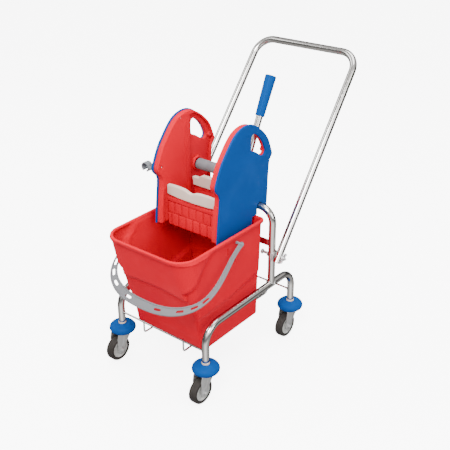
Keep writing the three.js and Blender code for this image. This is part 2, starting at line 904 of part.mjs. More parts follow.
// ---------------------------------------------------------------- wringer sides
// Outline of a side, front bottom first, round the top to the hook over the crossbar.
const SIDE_FRONT = [
  [-100, SIDE_BOTTOM],
  [-94, 500],
  [-88, 548],
  [-85, 578],
];
const SIDE_CROWN = [
  [-90, 592],
  [-101, 604],
  [-105.5, 617],
  [-102, 631],
  [-92, 654],
  [-76, 684],
  [-55, 711],
  [-34, 735],
  [-10, 755],
  [15, 765],
  [42, 768],
  [70, 762],
  [100, 744],
  [128, 720],
  [146, 698],
  [158, 673],
  [167, 650],
  [167, 640],
  [156, 626],
];
const SIDE_REAR = [
  [152, 606],
  [149, 560],
  [147, 510],
  [HOOK_TIP, HOOK_TIP_Z],
];
const HAND_HOLE = [
  [60, 690],
  [60, 722],
  [68, 732],
  [82, 729],
  [102, 714],
  [118, 695],
  [129, 674],
  [132, 660],
  [124, 652],
  [108, 656],
  [84, 673],
  [66, 681],
];

function sideShape(inset) {
  const outline = [];
  SIDE_FRONT.forEach(([y, z]) => outline.push([y, z]));
  const crown = smoothLoop(SIDE_CROWN, 22);
  crown.forEach((p) => outline.push([p.x, p.y]));
  SIDE_REAR.forEach(([y, z]) => outline.push([y, z]));
  const n = outline.length;
  const moved = outline.map(([y, z], i) => {
    const a = outline[Math.max(i - 1, 0)];
    const b = outline[Math.min(i + 1, n - 1)];
    const length = Math.hypot(b[0] - a[0], b[1] - a[1]);
    return [y + ((b[1] - a[1]) / length) * inset, z - ((b[0] - a[0]) / length) * inset];
  });
  moved[0][1] = SIDE_BOTTOM;
  moved[n - 1][1] = HOOK_TIP_Z;
  moved.push([HOOK_REAR, HOOK_TIP_Z]);
  const hookR = (HOOK_REAR - HOOK_FRONT) / 2;
  for (let k = 0; k <= 8; k += 1) {
    const a = (Math.PI * k) / 8;
    moved.push([ARCH_Y + hookR * Math.cos(a), ARCH_Z + hookR * Math.sin(a)]);
  }
  moved.push([HOOK_FRONT, BUCKET_TOP + GAP]);
  moved.push([SIDE_BOTTOM_REAR, BUCKET_TOP + GAP]);
  moved.push([SIDE_BOTTOM_REAR, SIDE_BOTTOM]);
  const shape = polygon(moved);
  const hole = smoothLoop([...HAND_HOLE, HAND_HOLE[0]], 18).slice(0, -1);
  shape.holes.push(new THREE.Path(hole.reverse()));
  return shape;
}

const coverIn = COVER_OUT - COVER_T;
const panelOut = coverIn - GAP;
for (const [side, s] of SIDES) {
  const journal = rod('x', JOURNAL_R + GAP, -panelOut + 3, panelOut - 3, SHAFT_Y, SHAFT_Z, 16);
  const cover = slabX(sideShape(0), coverIn, COVER_OUT);
  const panel = slabX(sideShape(PANEL_INSET), PANEL_IN, panelOut);
  const placed = [cover, panel].map((b) => (s > 0 ? b : b.mirror([1, 0, 0])));
  root.add(piece(`side_cover_${side}`, placed[0], 'blue_plastic'));
  root.add(piece(`side_panel_${side}`, cut(placed[1], [journal]), 'red_plastic'));
}

// ---------------------------------------------------------------- wringer basket
const spanX = PANEL_IN - GAP;
const brickPitch = (2 * spanX) / BRICK_COLUMNS;
const grilleBottom = TRAY_Z - TRAY_T;
const bricks = [];
for (const [z0, z1, shift] of [
  [BRICK_SPLIT + BRICK_GROOVE / 2, BRICK_TOP, 0],
  [grilleBottom + BRICK_GROOVE, BRICK_SPLIT - BRICK_GROOVE / 2, brickPitch / 2],
]) {
  for (let c = 0; c < BRICK_COLUMNS; c += 1) {
    const x0 = -spanX + c * brickPitch + shift + BRICK_GROOVE / 2;
    const x1 = Math.min(x0 + brickPitch - BRICK_GROOVE, spanX - BRICK_GROOVE / 2);
    bricks.push(box(x0, x1, GRILLE_Y, GRILLE_Y + GRILLE_T / 2, z0, z1));
  }
}
const grille = union([
  box(-spanX, spanX, GRILLE_Y + BRICK_RAISE, GRILLE_Y + GRILLE_T, grilleBottom, GRILLE_TOP),
  box(-spanX, spanX, GRILLE_Y, GRILLE_Y + GRILLE_T, BRICK_TOP + BRICK_GROOVE, GRILLE_TOP),
  ...bricks,
]);
root.add(piece('front_grille', grille, 'red_plastic'));

function lipShape() {
  const top = [];
  const count = 16;
  for (let k = 0; k <= count; k += 1) {
    const x = mix(-spanX, spanX, k / count);
    const d = Math.abs(x - 8);
    const notch = LIP_NOTCH * (1 - THREE.MathUtils.smoothstep(d, 8, 28));
    top.push([x, LIP_TOP + 5 - notch]);
  }
  return polygon([[-spanX, GRILLE_TOP + GAP], [spanX, GRILLE_TOP + GAP], ...top.reverse()]);
}

// The lip bows forward in the middle.
function bowed(shape, y0, y1, bow) {
  const geometry = new THREE.ExtrudeGeometry(shape, { depth: y1 - y0, bevelEnabled: false });
  geometry.rotateX(Math.PI / 2);
  geometry.translate(0, y1, 0);
  const position = geometry.attributes.position;
  for (let i = 0; i < position.count; i += 1) {
    const x = position.getX(i) / spanX;
    position.setY(i, position.getY(i) - bow * (1 - x * x));
  }
  return solid(geometry);
}

root.add(
  piece('front_lip', bowed(lipShape(), GRILLE_Y - 2, GRILLE_Y - 2 + LIP_T, LIP_BOW), 'ivory_plastic'),
);

const trayHoles = [];
for (let c = 0; c < 4; c += 1) {
  for (let r = 0; r < 3; r += 1) {
    const cx = -66 + c * 44;
    const cy = -36 + r * 32;
    trayHoles.push(box(cx - 14, cx + 14, cy - 5, cy + 5, TRAY_Z - 30, TRAY_Z + 30));
  }
}
const trayFront = GRILLE_Y + GRILLE_T + GAP;
const trayRear = SIDE_BOTTOM_REAR;
root.add(
  piece(
    'wringer_tray',
    cut(box(-spanX, spanX, trayFront, trayRear, TRAY_Z - TRAY_T, TRAY_Z), trayHoles),
    'red_plastic',
  ),
);

const pressX = spanX - 1;
const ribs = [-60, -20, 20, 60].map((x) =>
  box(x - 3, x + 3, PRESS_Y + PRESS_T - 1, PRESS_Y + PRESS_T + 7, TRAY_Z + 6, PRESS_TOP - 10),
);
const press = union([
  box(-pressX, pressX, PRESS_Y, PRESS_Y + PRESS_T, TRAY_Z + GAP * 2, PRESS_TOP),
  ...ribs,
]);
root.add(piece('press_plate', press, 'red_plastic'));

const pressLip = polygon([
  [-pressX, PRESS_TOP + GAP],
  [pressX, PRESS_TOP + GAP],
  [pressX, PRESS_LIP_SIDE],
  [74, PRESS_LIP_SIDE + 2],
  [60, PRESS_LIP_TOP - 20],
  [-60, PRESS_LIP_TOP - 20],
  [-74, PRESS_LIP_SIDE + 2],
  [-pressX, PRESS_LIP_SIDE],
]);
root.add(
  piece('press_lip', slabY(pressLip, PRESS_Y - 9, PRESS_Y + PRESS_T - 2), 'ivory_plastic'),
);

// ---------------------------------------------------------------- lever and shaft
const journalEnd = panelOut - 5;
const shaftProfile = [
  [0, -journalEnd],
  [JOURNAL_R, -journalEnd],
  [JOURNAL_R, -spanX + 1],
  [SHAFT_R, -spanX + 1],
  [SHAFT_R, spanX - 1],
  [JOURNAL_R, spanX - 1],
  [JOURNAL_R, journalEnd],
  [0, journalEnd],
].map(([r, h]) => new THREE.Vector2(r, h));
const shaftGeometry = new THREE.LatheGeometry(shaftProfile, 20);
shaftGeometry.rotateZ(-Math.PI / 2);
const leverGroup = new THREE.Group();
leverGroup.name = 'lever_assembly';
leverGroup.position.set(0, SHAFT_Y, SHAFT_Z);
leverGroup.rotation.x = -rad(LEVER_LEAN);
leverGroup.add(piece('wringer_shaft', solid(shaftGeometry), 'grey_plastic'));

const leverRod = cut(rod('z', LEVER_R, 0, GRIP_END - 20, LEVER_X, 0, 14), [
  rod('x', SHAFT_R + GAP * 2, 40, 120, 0, 0, 20),
]);
const leverTube = cut(leverRod, [box(40, 120, -30, 30, -40, 4)]);
leverGroup.add(piece('lever_tube', leverTube, 'chrome'));

const gripBody = turned(
  [
    [0, GRIP_END],
    [GRIP_R_TOP - 7, GRIP_END],
    [GRIP_R_TOP - 1.5, GRIP_END - 5],
    [GRIP_R_TOP, GRIP_END - 14],
    [GRIP_R_TOP - 1, GRIP_END - 40],
    [GRIP_R_LOW, GRIP_START + 14],
    [GRIP_R_LOW + 1.2, GRIP_START + 4],
    [GRIP_R_LOW, GRIP_START],
    [LEVER_R + GAP, GRIP_START],
    [LEVER_R + GAP, GRIP_END - 20 + GAP],
    [0, GRIP_END - 20 + GAP],
  ].reverse(),
  16,
);
leverGroup.add(piece('lever_grip', gripBody.translate([LEVER_X, 0, 0]), 'blue_plastic'));
root.add(leverGroup);

// ---------------------------------------------------------------- mop clip
function clipBody() {
  const start = rad(-60);
  const end = rad(240);
  const claw = [];
  const steps = 14;
  for (let k = 0; k <= steps; k += 1) {
    const a = mix(start, end, k / steps);
    claw.push([CLIP_R * Math.cos(a), CLIP_R * Math.sin(a)]);
  }
  for (let k = steps; k >= 0; k -= 1) {
    const a = mix(start, end, k / steps);
    claw.push([(CLIP_R - 4) * Math.cos(a), (CLIP_R - 4) * Math.sin(a)]);
  }
  const centreX = -COVER_OUT - 9 - CLIP_R;
  const ring = slabY(polygon(claw), -10, 10).translate([centreX, 0, 0]);
  const arm = box(centreX + CLIP_R - 3, -COVER_OUT - GAP, -10, 10, -5, 5);
  const foot = box(-COVER_OUT - GAP - 4, -COVER_OUT - GAP, -2, 26, -14, 14);
  return union([ring, arm, foot]);
}

const clip = piece('mop_clip', clipBody(), 'grey_plastic');
clip.position.set(0, CLIP_Y, CLIP_Z);
root.add(clip);

// ---------------------------------------------------------------- centre the footprint on the floor
const extent = new THREE.Box3().setFromObject(root);
const centred = new THREE.Group();
centred.name = 'mop_and_bucket_with_wringer';
root.position.y = -(extent.min.y + extent.max.y) / 2;
root.position.z = -extent.min.z;
centred.add(root);

export default centred;
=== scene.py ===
"""Looks of the single-bucket cleaning trolley with its lever press wringer.

Lengths are in millimetres in the build frame (front -Y, push handle +Y, +Z up) and are
placed in the row frame, in metres, when a mesh is made.
"""

import math

import bmesh
import bpy
import numpy as np
from mathutils import Matrix, Vector


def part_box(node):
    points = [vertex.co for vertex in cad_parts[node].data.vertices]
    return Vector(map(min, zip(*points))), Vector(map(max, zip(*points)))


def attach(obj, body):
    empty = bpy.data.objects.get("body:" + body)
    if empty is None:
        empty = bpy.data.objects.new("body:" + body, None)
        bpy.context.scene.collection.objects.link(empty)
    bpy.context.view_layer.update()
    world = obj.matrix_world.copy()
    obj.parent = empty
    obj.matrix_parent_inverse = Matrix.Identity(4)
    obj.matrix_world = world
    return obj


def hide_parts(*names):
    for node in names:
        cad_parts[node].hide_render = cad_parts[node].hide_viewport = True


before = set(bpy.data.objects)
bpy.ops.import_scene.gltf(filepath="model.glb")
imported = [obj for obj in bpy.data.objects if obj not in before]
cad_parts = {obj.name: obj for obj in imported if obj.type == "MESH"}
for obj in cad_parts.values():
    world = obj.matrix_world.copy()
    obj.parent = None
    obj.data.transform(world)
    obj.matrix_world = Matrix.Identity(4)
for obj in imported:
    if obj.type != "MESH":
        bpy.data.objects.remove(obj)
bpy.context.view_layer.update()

# ------------------------------------------------------------------ dimensions (mm)
MM = 0.001
ARCH_Y, ARCH_Z, ARCH_BEND = 107.0, 489.0, 46.0
HALF_TRACK, HALF_BASE = 175.0, 222.0
TUBE_R, TUBE_BORE, WIRE_R = 11.5, 10.0, 3.0
WHEEL_R, TYRE_W, RIM_R, TRAIL, AXLE_Z = 41.0, 27.0, 30.0, 27.0, 24.5
LIFT = WHEEL_R - AXLE_Z  # the wheels reach this far below the zero of the heights here
CROWN_Z, CROWN_T = 79.6, 3.6
BUMPER_Z, BUMPER_TOP = 84.0, 112.0
SIDE_Z, SIDE_BEND = 228.0, 58.0
WIRE_Z, RAIL_X, RAIL_Z, RAIL_BEND = 150.0, 82.0, 106.0, 9.0
STRAP_Z, STRAP_H, STRAP_T = 372.0, 22.0, 4.0
PIVOT_Z = 334.0
HANDLE_X, HANDLE_TOP_X, HANDLE_TOP_Y, HANDLE_TOP_Z = 201.0, 193.0, 537.0, 882.0
HANDLE_BEND, HANDLE_FOOT = 60.0, 20.0
BUCKET_TOP, BUCKET_BOTTOM = 463.0, 109.3
RIM_HALF, RIM_FRONT, RIM_REAR, RIM_CORNER, RIM_BACK = 160.0, -296.0, 93.0, 58.0, 12.0
BASE_HALF, BASE_FRONT, BASE_REAR, BASE_CORNER, BASE_BACK = 140.0, -190.0, 87.0, 18.0, 10.5
WALL, FLOOR_T, ROLL_OUT, ROLL_H = 4.0, 5.0, 6.0, 12.0
BAIL_Y, BAIL_Z, BAIL_TILT = -45.0, 434.0, 30.0
BAIL_ARM_X, BAIL_WIDE_X, BAIL_ARM, BAIL_REACH, BAIL_POWER = 171.0, 187.0, 160.0, 294.0, 2.4
BAIL_T = 5.0
BAIL_WIDTHS = ((0, 15), (30, 14), (110, 16), (215, 20), (280, 30), (294, 31))  # by reach
BAIL_SLOTS = (1.18, 1.36, 1.56, 1.84)  # along the band, 1 where the arm ends, 2 at the middle
COVER_OUT, COVER_T, PANEL_IN = 125.0, 7.0, 100.0
SHAFT_Y, SHAFT_Z, SHAFT_R = 84.0, 581.0, 17.5
LEVER_X, LEVER_LEAN, LEVER_R = 75.0, 26.0, 10.5
GRIP_START, GRIP_END = 190.0, 316.0
TRAY_Z, TRAY_T = 432.0, 6.0
GRILLE_Y, GRILLE_T, GRILLE_TOP = -66.0, 8.0, 521.0
PRESS_Y, PRESS_TOP = 58.0, 534.0
CLIP_Y, CLIP_Z, CLIP_R = -98.0, 618.0, 15.0
GAP = 0.3
SHARP = 38.0  # degrees between faces that still shade as one surface

lo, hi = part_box("wringer_arch")
SHIFT = (0, (lo.y + hi.y) / 2 / MM - ARCH_Y, LIFT)  # from the heights and depths used here
SIDES = (("left", -1), ("right", 1))


def mix(a, b, t):
    return a + (b - a) * t


def placed(name, data):
    """A new object that is linked to the scene."""
    obj = bpy.data.objects.new(name, data)
    bpy.context.scene.collection.objects.link(obj)
    return obj


def ramp(x, a, b):
    """Smooth step from 0 at a to 1 at b."""
    t = np.clip((np.asarray(x, float) - a) / (b - a), 0, 1)
    return t * t * (3 - 2 * t)


# ------------------------------------------------------------------ camera
CAMERA_AT = (1.38245, -1.75429, 1.53423)
CAMERA_AZ, CAMERA_EL, CAMERA_ROLL = 38.57, 26.97, -0.22
CAMERA_LENS = 61.74
CAMERA_SHIFT = (-0.0022, -0.0015)


def make_camera():
    az, el, roll = (math.radians(a) for a in (CAMERA_AZ, CAMERA_EL, CAMERA_ROLL))
    back = Vector((math.sin(az) * math.cos(el), -math.cos(az) * math.cos(el), math.sin(el)))
    right = Vector((math.cos(az), math.sin(az), 0))
    up = back.cross(right)
    right, up = (
        math.cos(roll) * right + math.sin(roll) * up,
        -math.sin(roll) * right + math.cos(roll) * up,
    )
    data = bpy.data.cameras.new("view")
    data.lens = CAMERA_LENS
    data.sensor_width = 36.0
    data.shift_x, data.shift_y = CAMERA_SHIFT
    data.clip_start, data.clip_end = 0.05, 60.0
    cam = placed("view", data)
    turn = Matrix((right, up, back)).transposed().to_4x4()
    cam.matrix_world = Matrix.Translation(CAMERA_AT) @ turn
    bpy.context.scene.camera = cam


make_camera()


# ------------------------------------------------------------------ materials
def node(tree, kind, **values):
    made = tree.nodes.new("ShaderNode" + kind)
    for key, value in values.items():
        made.inputs[key.replace("_", " ")].default_value = value
    return made


def colour_ramp(tree, stops):
    made = node(tree, "ValToRGB")
    elements = made.color_ramp.elements
    while len(elements) < len(stops):
        elements.new(0.5)
    for e, (at, colour) in zip(elements, stops):
        e.position = at
        e.color = (*colour, 1)
    return made


class Nodes:
    """A node material being built round its Principled shader."""

    def __init__(self, name):
        self.mat = bpy.data.materials.new(name)
        self.mat.use_nodes = True
        self.tree = self.mat.node_tree
        self.shader = self.tree.nodes["Principled BSDF"]
        self.place = node(self.tree, "TexCoord").outputs["Object"]

    def link(self, a, b):
        self.tree.links.new(a, b)

    def noise(self, scale, detail=2.0, stretch=None, rough=0.5):
        n = node(self.tree, "TexNoise", Scale=scale, Detail=detail, Roughness=rough)
        source = self.place
        if stretch:
            m = node(self.tree, "Mapping", Scale=stretch)
            self.link(source, m.inputs["Vector"])
            source = m.outputs["Vector"]
        self.link(source, n.inputs["Vector"])
        return n.outputs["Fac"]

    def colours(self, value, stops):
        r = colour_ramp(self.tree, stops)
        self.link(value, r.inputs["Fac"])
        self.link(r.outputs["Color"], self.shader.inputs["Base Color"])

    def rough(self, value, low, high):
        r = node(self.tree, "MapRange", From_Min=0.3, From_Max=0.7, To_Min=low, To_Max=high)
        self.link(value, r.inputs["Value"])
        self.link(r.outputs["Result"], self.shader.inputs["Roughness"])

    def bump(self, value, distance, strength=0.5):
        b = node(self.tree, "Bump", Distance=distance, Strength=strength)
        self.link(value, b.inputs["Height"])
        normal = self.shader.inputs["Normal"]
        if normal.is_linked:
            self.link(normal.links[0].from_socket, b.inputs["Normal"])
        self.link(b.outputs["Normal"], normal)

    def set(self, **values):
        for key, value in values.items():
            self.shader.inputs[key.replace("_", " ")].default_value = value
        return self.mat


def linear(r, g, b):
    """sRGB 0-255 to scene-linear."""
    out = []
    for c in (r, g, b):
        c /= 255
        out.append(c / 12.92 if c <= 0.04045 else ((c + 0.055) / 1.055) ** 2.4)
    return tuple(out)


def plastic(name, colour, low, high, grain=0.00006, spread=0.05, scratch=0.5):
    n = Nodes(name)
    base = linear(*colour)
    dark = tuple(c * (1 - spread) for c in base)
    light = tuple(min(1, c * (1 + spread) + 0.004) for c in base)
    n.colours(n.noise(9, 3), ((0.3, dark), (0.55, base), (0.75, light)))
    n.rough(n.noise(38, 4, rough=0.6), low, high)
    n.bump(n.noise(900, 2), grain, 0.35)
    n.bump(n.noise(60, 5, (1, 6, 1), 0.7), 0.00025, 0.06 * scratch)
    return n.set(IOR=1.49, Specular_IOR_Level=0.05)


def metal(name, colour, edge, low, high, brushed, grain):
    n = Nodes(name)
    base = linear(*colour)
    dark = tuple(c * 0.9 for c in base)
    n.colours(n.noise(14, 4, rough=0.65), ((0.35, dark), (0.62, base)))
    n.rough(n.noise(70, 4, brushed, 0.6), low, high)
    n.bump(n.noise(420, 3, brushed), grain, 0.3)
    return n.set(Metallic=1.0, Specular_Tint=(*linear(*edge), 1))


def rubber(name):
    n = Nodes(name)
    base, light = linear(46, 43, 41), linear(60, 56, 53)
    n.colours(n.noise(40, 5, rough=0.7), ((0.35, linear(38, 35, 33)), (0.55, base), (0.8, light)))
    n.rough(n.noise(120, 3), 0.62, 0.82)
    n.bump(n.noise(700, 3), 0.0002, 0.5)
    return n.set(IOR=1.5, Specular_IOR_Level=0.1)


LOOKS = {
    "red_plastic": plastic("red_moulding", (190, 0, 31), 0.36, 0.48),
    "blue_plastic": plastic("blue_moulding", (0, 57, 120), 0.38, 0.5),
    "grey_plastic": plastic("grey_moulding", (108, 110, 113), 0.38, 0.5),
    "ivory_plastic": plastic("ivory_moulding", (196, 178, 165), 0.4, 0.52),
    "hub_plastic": plastic("hub_moulding", (158, 158, 155), 0.45, 0.6),
    "chrome": metal("chrome_tube", (200, 198, 195), (70, 66, 64), 0.1, 0.2, (1, 1, 1), 0.00004),
    "zinc": metal("zinc_sheet", (205, 205, 205), (120, 118, 116), 0.3, 0.48, (1, 1, 5), 0.0001),
    "tyre_rubber": rubber("tyre_compound"),
}


# ------------------------------------------------------------------ mesh helpers
class Shape:
    """Closed shells, in millimetres, that become one piece."""

    def __init__(self):
        self.points = []
        self.faces = []

    def add(self, made, turn=None, at=(0, 0, 0)):
        points, faces = made
        points = np.asarray(points, float)
        if turn is not None:
            points = points @ np.array(turn).T
        points = points + np.asarray(at, float)
        start = sum(len(p) for p in self.points)
        self.points.append(points)
        self.faces += [tuple(i + start for i in f) for f in faces]
        return self

    def piece(self, name, body, slot, nodes):
        points = np.concatenate(self.points) + SHIFT
        mesh = bpy.data.meshes.new(name)
        mesh.from_pydata([tuple(p) for p in points * MM], [], self.faces)
        mesh.validate()
        bm = bmesh.new()
        bm.from_mesh(mesh)
        bmesh.ops.remove_doubles(bm, verts=bm.verts, dist=2e-6)
        bmesh.ops.dissolve_degenerate(bm, edges=bm.edges, dist=1e-6)
        bmesh.ops.recalc_face_normals(bm, faces=bm.faces)
        bm.to_mesh(mesh)
        bm.free()
        mesh.polygons.foreach_set("use_smooth", [True] * len(mesh.polygons))
        mesh.set_sharp_from_angle(angle=math.radians(SHARP))
        obj = placed(name, mesh)
        mesh.materials.append(LOOKS[slot])
        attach(obj, body)
        if nodes:
            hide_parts(*([nodes] if isinstance(nodes, str) else nodes))
        return obj


def grid_faces(rows, count, wrap=True):
    faces = []
    for r in range(rows - 1):
        for k in range(count if wrap else count - 1):
            j = (k + 1) % count
            faces.append((r * count + k, r * count + j, (r + 1) * count + j, (r + 1) * count + k))
    return faces


def loft(loops, capped=True):
    """Rings of equal count joined in turn, with a flat face over the first and last."""
    count = len(loops[0])
    faces = grid_faces(len(loops), count)
    if capped:
        faces.append(tuple(reversed(range(count))))
        last = (len(loops) - 1) * count
        faces.append(tuple(last + k for k in range(count)))
    return np.concatenate([np.asarray(lp, float) for lp in loops]), faces


def lathe(profile, sides=48, axis="z", closed=True):
    """Radius and height pairs turned about an axis. A closed profile joins end to start."""
    profile = list(profile)
    rows = profile + ([profile[0]] if closed else [])
    a = np.linspace(0, 2 * math.pi, sides, endpoint=False)
    loops = []
    for r, h in rows:
        r = max(r, 1e-3)
        loops.append(np.stack([r * np.cos(a), r * np.sin(a), np.full(sides, float(h))], 1))
    points, faces = loft(loops, capped=not closed)
    if axis == "x":
        points = points[:, [2, 0, 1]]
    elif axis == "y":
        points = points[:, [1, 2, 0]]
    return points, faces


def rounded(profile, radius, steps=4):
    """A closed profile with its corners rounded."""
    out = []
    n = len(profile)
    for i in range(n):
        p, a, b = (np.array(profile[j % n], float) for j in (i, i - 1, i + 1))
        da, db = a - p, b - p
        la, lb = np.linalg.norm(da), np.linalg.norm(db)
        cut = min(radius, la * 0.45, lb * 0.45)
        s, e = p + da / la * cut, p + db / lb * cut
        for k in range(steps + 1):
            t = k / steps
            out.append(tuple((1 - t) ** 2 * s + 2 * t * (1 - t) * p + t * t * e))
    return out


def bent(corners, radii, facets=14):
    """Centreline through corners, each rounded with its own radius."""
    pts = [np.array(corners[0], float)]
    for i in range(1, len(corners) - 1):
        p = np.array(corners[i], float)
        before = p - corners[i - 1]
        after = np.array(corners[i + 1], float) - p
        before /= np.linalg.norm(before)
        after /= np.linalg.norm(after)
        turn = math.acos(np.clip(before @ after, -1, 1))
        start = p - before * radii[i - 1] * math.tan(turn / 2)
        inward = after - before * (after @ before)
        inward /= np.linalg.norm(inward)
        for k in range(facets + 1):
            a = turn * k / facets
            pts.append(start + radii[i - 1] * (inward * (1 - math.cos(a)) + before * math.sin(a)))
    pts.append(np.array(corners[-1], float))
    return np.array(pts)


def frames(path):
    """Tangent and two cross directions at each point, without twist."""
    path = np.asarray(path, float)
    tangents = np.empty_like(path)
    seg = np.diff(path, axis=0)
    seg /= np.linalg.norm(seg, axis=1)[:, None]
    tangents[0], tangents[-1] = seg[0], seg[-1]
    tangents[1:-1] = seg[:-1] + seg[1:]
    tangents /= np.linalg.norm(tangents, axis=1)[:, None]
    ref = np.array([1.0, 0, 0]) if abs(tangents[0][0]) < 0.8 else np.array([0, 0, 1.0])
    u = ref - tangents[0] * (ref @ tangents[0])
    u /= np.linalg.norm(u)
    out = []
    for t in tangents:
        u = u - t * (u @ t)
        u /= np.linalg.norm(u)
        out.append((t, u, np.cross(t, u)))
    return out


def arc(r, start, end, count, at=(0, 0)):
    """Points on an arc about a centre, from one angle to another in degrees."""
    return [(at[0] + r * math.cos(a), at[1] + r * math.sin(a))
            for a in np.radians(np.linspace(start, end, count))]


def facing(profile, s):
    """A lathe profile with its heights turned to the left (s = -1) or the right (s = 1)."""
    return [(r, s * v) for r, v in profile]


def about_x(a):
    return ((1, 0, 0), (0, math.cos(a), -math.sin(a)), (0, math.sin(a), math.cos(a)))


def circle(r, sides):
    a = np.linspace(0, 2 * math.pi, sides, endpoint=False)
    return np.stack([r * np.cos(a), r * np.sin(a)], 1)


def swept(path, section, scale=None):
    loops = []
    for i, (p, (_, u, v)) in enumerate(zip(path, frames(path))):
        s = np.asarray(section) * (1 if scale is None else scale[i])
        loops.append(p + s[:, :1] * u + s[:, 1:] * v)
    return loops


def tube(corners, radii, r=TUBE_R, bore=TUBE_BORE, depth=35.0, sides=40, facets=14):
    """A bent round tube with its cut ends broken and a bore that can be looked into."""
    path = bent(corners, radii, facets)
    edge = 0.5
    fr = frames(path)
    ends = []
    for index, sign in ((0, -1), (-1, 1)):
        p, (t, u, v) = path[index], fr[index]
        steps = ((r - edge, 0.0), (bore + edge * 0.6, 0.0), (bore, -edge), (bore, -depth))
        rings = []
        for radius, back in steps:
            c = circle(radius, sides)
            rings.append(p + sign * t * back + c[:, :1] * u + c[:, 1:] * v)
        ends.append(rings)
    body = swept(path, circle(r, sides))
    t0, t1 = fr[0][0], fr[-1][0]
    body[0] = body[0] + t0 * edge
    body[-1] = body[-1] - t1 * edge
    return loft(list(reversed(ends[0])) + body + ends[1])


def wire(corners, radii, r=WIRE_R, sides=18, facets=8):
    path = bent(corners, radii, facets)
    section = circle(r, sides)
    loops = swept(path, section)
    fr = frames(path)
    for index, sign in ((0, -1), (-1, 1)):
        p, (t, u, v) = path[index], fr[index]
        small = section * 0.72
        ring = p + sign * t * 0.5 + small[:, :1] * u + small[:, 1:] * v
        loops.insert(0 if index == 0 else len(loops), ring)
    return loft(loops)


def block(x0, x1, y0, y1, z0, z1, bevel=1.0, segments=3):
    bm = bmesh.new()
    bmesh.ops.create_cube(bm, size=1.0)
    for v in bm.verts:
        v.co = [mix(a, b, c + 0.5) for a, b, c in zip((x0, y0, z0), (x1, y1, z1), v.co)]
    bmesh.ops.bevel(
        bm, geom=list(bm.edges), offset=bevel, segments=segments, profile=0.5, affect="EDGES"
    )
    points = np.array([v.co for v in bm.verts])
    faces = [tuple(v.index for v in f.verts) for f in bm.faces]
    bm.free()
    return points, faces


def plate(outline, t0, t1, bevel=1.0, holes=(), steps=2):
    """A flat outline with holes, given thickness t0 to t1 along its third axis."""
    data = bpy.data.curves.new("outline", "CURVE")
    data.dimensions = "2D"
    data.fill_mode = "BOTH"
    data.extrude = (t1 - t0) / 2 - bevel
    data.bevel_depth = bevel
    data.bevel_resolution = steps
    data.offset = -bevel
    for loop in [outline, *holes]:
        spline = data.splines.new("POLY")
        spline.points.add(len(loop) - 1)
        for point, (a, b) in zip(spline.points, loop):
            point.co = (a, b, 0, 1)
        spline.use_cyclic_u = True
    obj = placed("outline", data)
    bpy.context.view_layer.update()
    mesh = obj.evaluated_get(bpy.context.evaluated_depsgraph_get()).to_mesh()
    bm = bmesh.new()
    bm.from_mesh(mesh)
    bmesh.ops.remove_doubles(bm, verts=bm.verts, dist=1e-3)
    bm.verts.index_update()
    points = np.array([v.co for v in bm.verts]) + (0, 0, (t0 + t1) / 2)
    faces = [tuple(v.index for v in f.verts) for f in bm.faces]
    bm.free()
    bpy.data.objects.remove(obj)
    bpy.data.curves.remove(data)
    return points, faces


def along_x(made):
    """A plate drawn as (y, z) with its thickness along X."""
    points, faces = made
    return points[:, [2, 0, 1]], faces


def along_y(made):
    """A plate drawn as (x, z) with its thickness along Y."""
    points, faces = made
    return points[:, [0, 2, 1]], faces


def spline_loop(pairs, per=6, closed=False):
    """Smooth curve through points (Catmull-Rom)."""
    p = [np.array(q, float) for q in pairs]
    n = len(p)
    out = []
    spans = n if closed else n - 1
    for i in range(spans):
        if closed:
            a, b, c, d = p[i - 1], p[i], p[(i + 1) % n], p[(i + 2) % n]
        else:
            b, c = p[i], p[i + 1]
            a = p[i - 1] if i else 2 * b - c
            d = p[i + 2] if i + 2 < n else 2 * c - b
        for k in range(per):
            t = k / per
            square = (2 * a - 5 * b + 4 * c - d) * t * t
            cube = (3 * b - a - 3 * c + d) * t**3
            out.append(0.5 * (2 * b + (c - a) * t + square + cube))
    if not closed:
        out.append(p[-1])
    return [tuple(q) for q in out]


def resampled(loop, step):
    loop = np.array(list(loop) + [loop[0]], float)
    d = np.concatenate([[0], np.cumsum(np.linalg.norm(np.diff(loop, axis=0), axis=1))])
    n = max(8, int(d[-1] / step))
    s = np.linspace(0, d[-1], n, endpoint=False)
    return np.stack([np.interp(s, d, loop[:, k]) for k in (0, 1)], 1)


def inset(loop, by, step=3.0):
    """The loop moved inwards; points that would come too close to the edge are dropped."""
    p = resampled(loop, step)
    nxt, prv = np.roll(p, -1, 0), np.roll(p, 1, 0)
    t = nxt - prv
    t /= np.linalg.norm(t, axis=1)[:, None]
    area = 0.5 * np.sum(p[:, 0] * nxt[:, 1] - nxt[:, 0] * p[:, 1])
    normal = np.stack([-t[:, 1], t[:, 0]], 1) * (1 if area > 0 else -1)
    q = p + normal * by
    far = np.min(np.linalg.norm(q[:, None] - p[None], axis=2), axis=1)
    keep = far > abs(by) * 0.97
    return [tuple(v) for v in q[keep]]


def cut(obj, cutters):
    """obj with the cutters' space taken out of its mesh."""
    for c in cutters:
        m = obj.modifiers.new("cut", "BOOLEAN")
        m.operation = "DIFFERENCE"
        m.solver = "EXACT"
        m.object = c
    bpy.context.view_layer.update()
    deps = bpy.context.evaluated_depsgraph_get()
    made = bpy.data.meshes.new_from_object(obj.evaluated_get(deps))
    obj.modifiers.clear()
    obj.data = made
    for c in cutters:
        bpy.data.objects.remove(c)
    made.set_sharp_from_angle(angle=math.radians(SHARP))
    return obj


def cutter(made):
    points, faces = made
    mesh = bpy.data.meshes.new("cutter")
    mesh.from_pydata([tuple(p) for p in (points + SHIFT) * MM], [], faces)
    bm = bmesh.new()
    bm.from_mesh(mesh)
    bmesh.ops.recalc_face_normals(bm, faces=bm.faces)
    bm.to_mesh(mesh)
    bm.free()
    return placed("cutter", mesh)


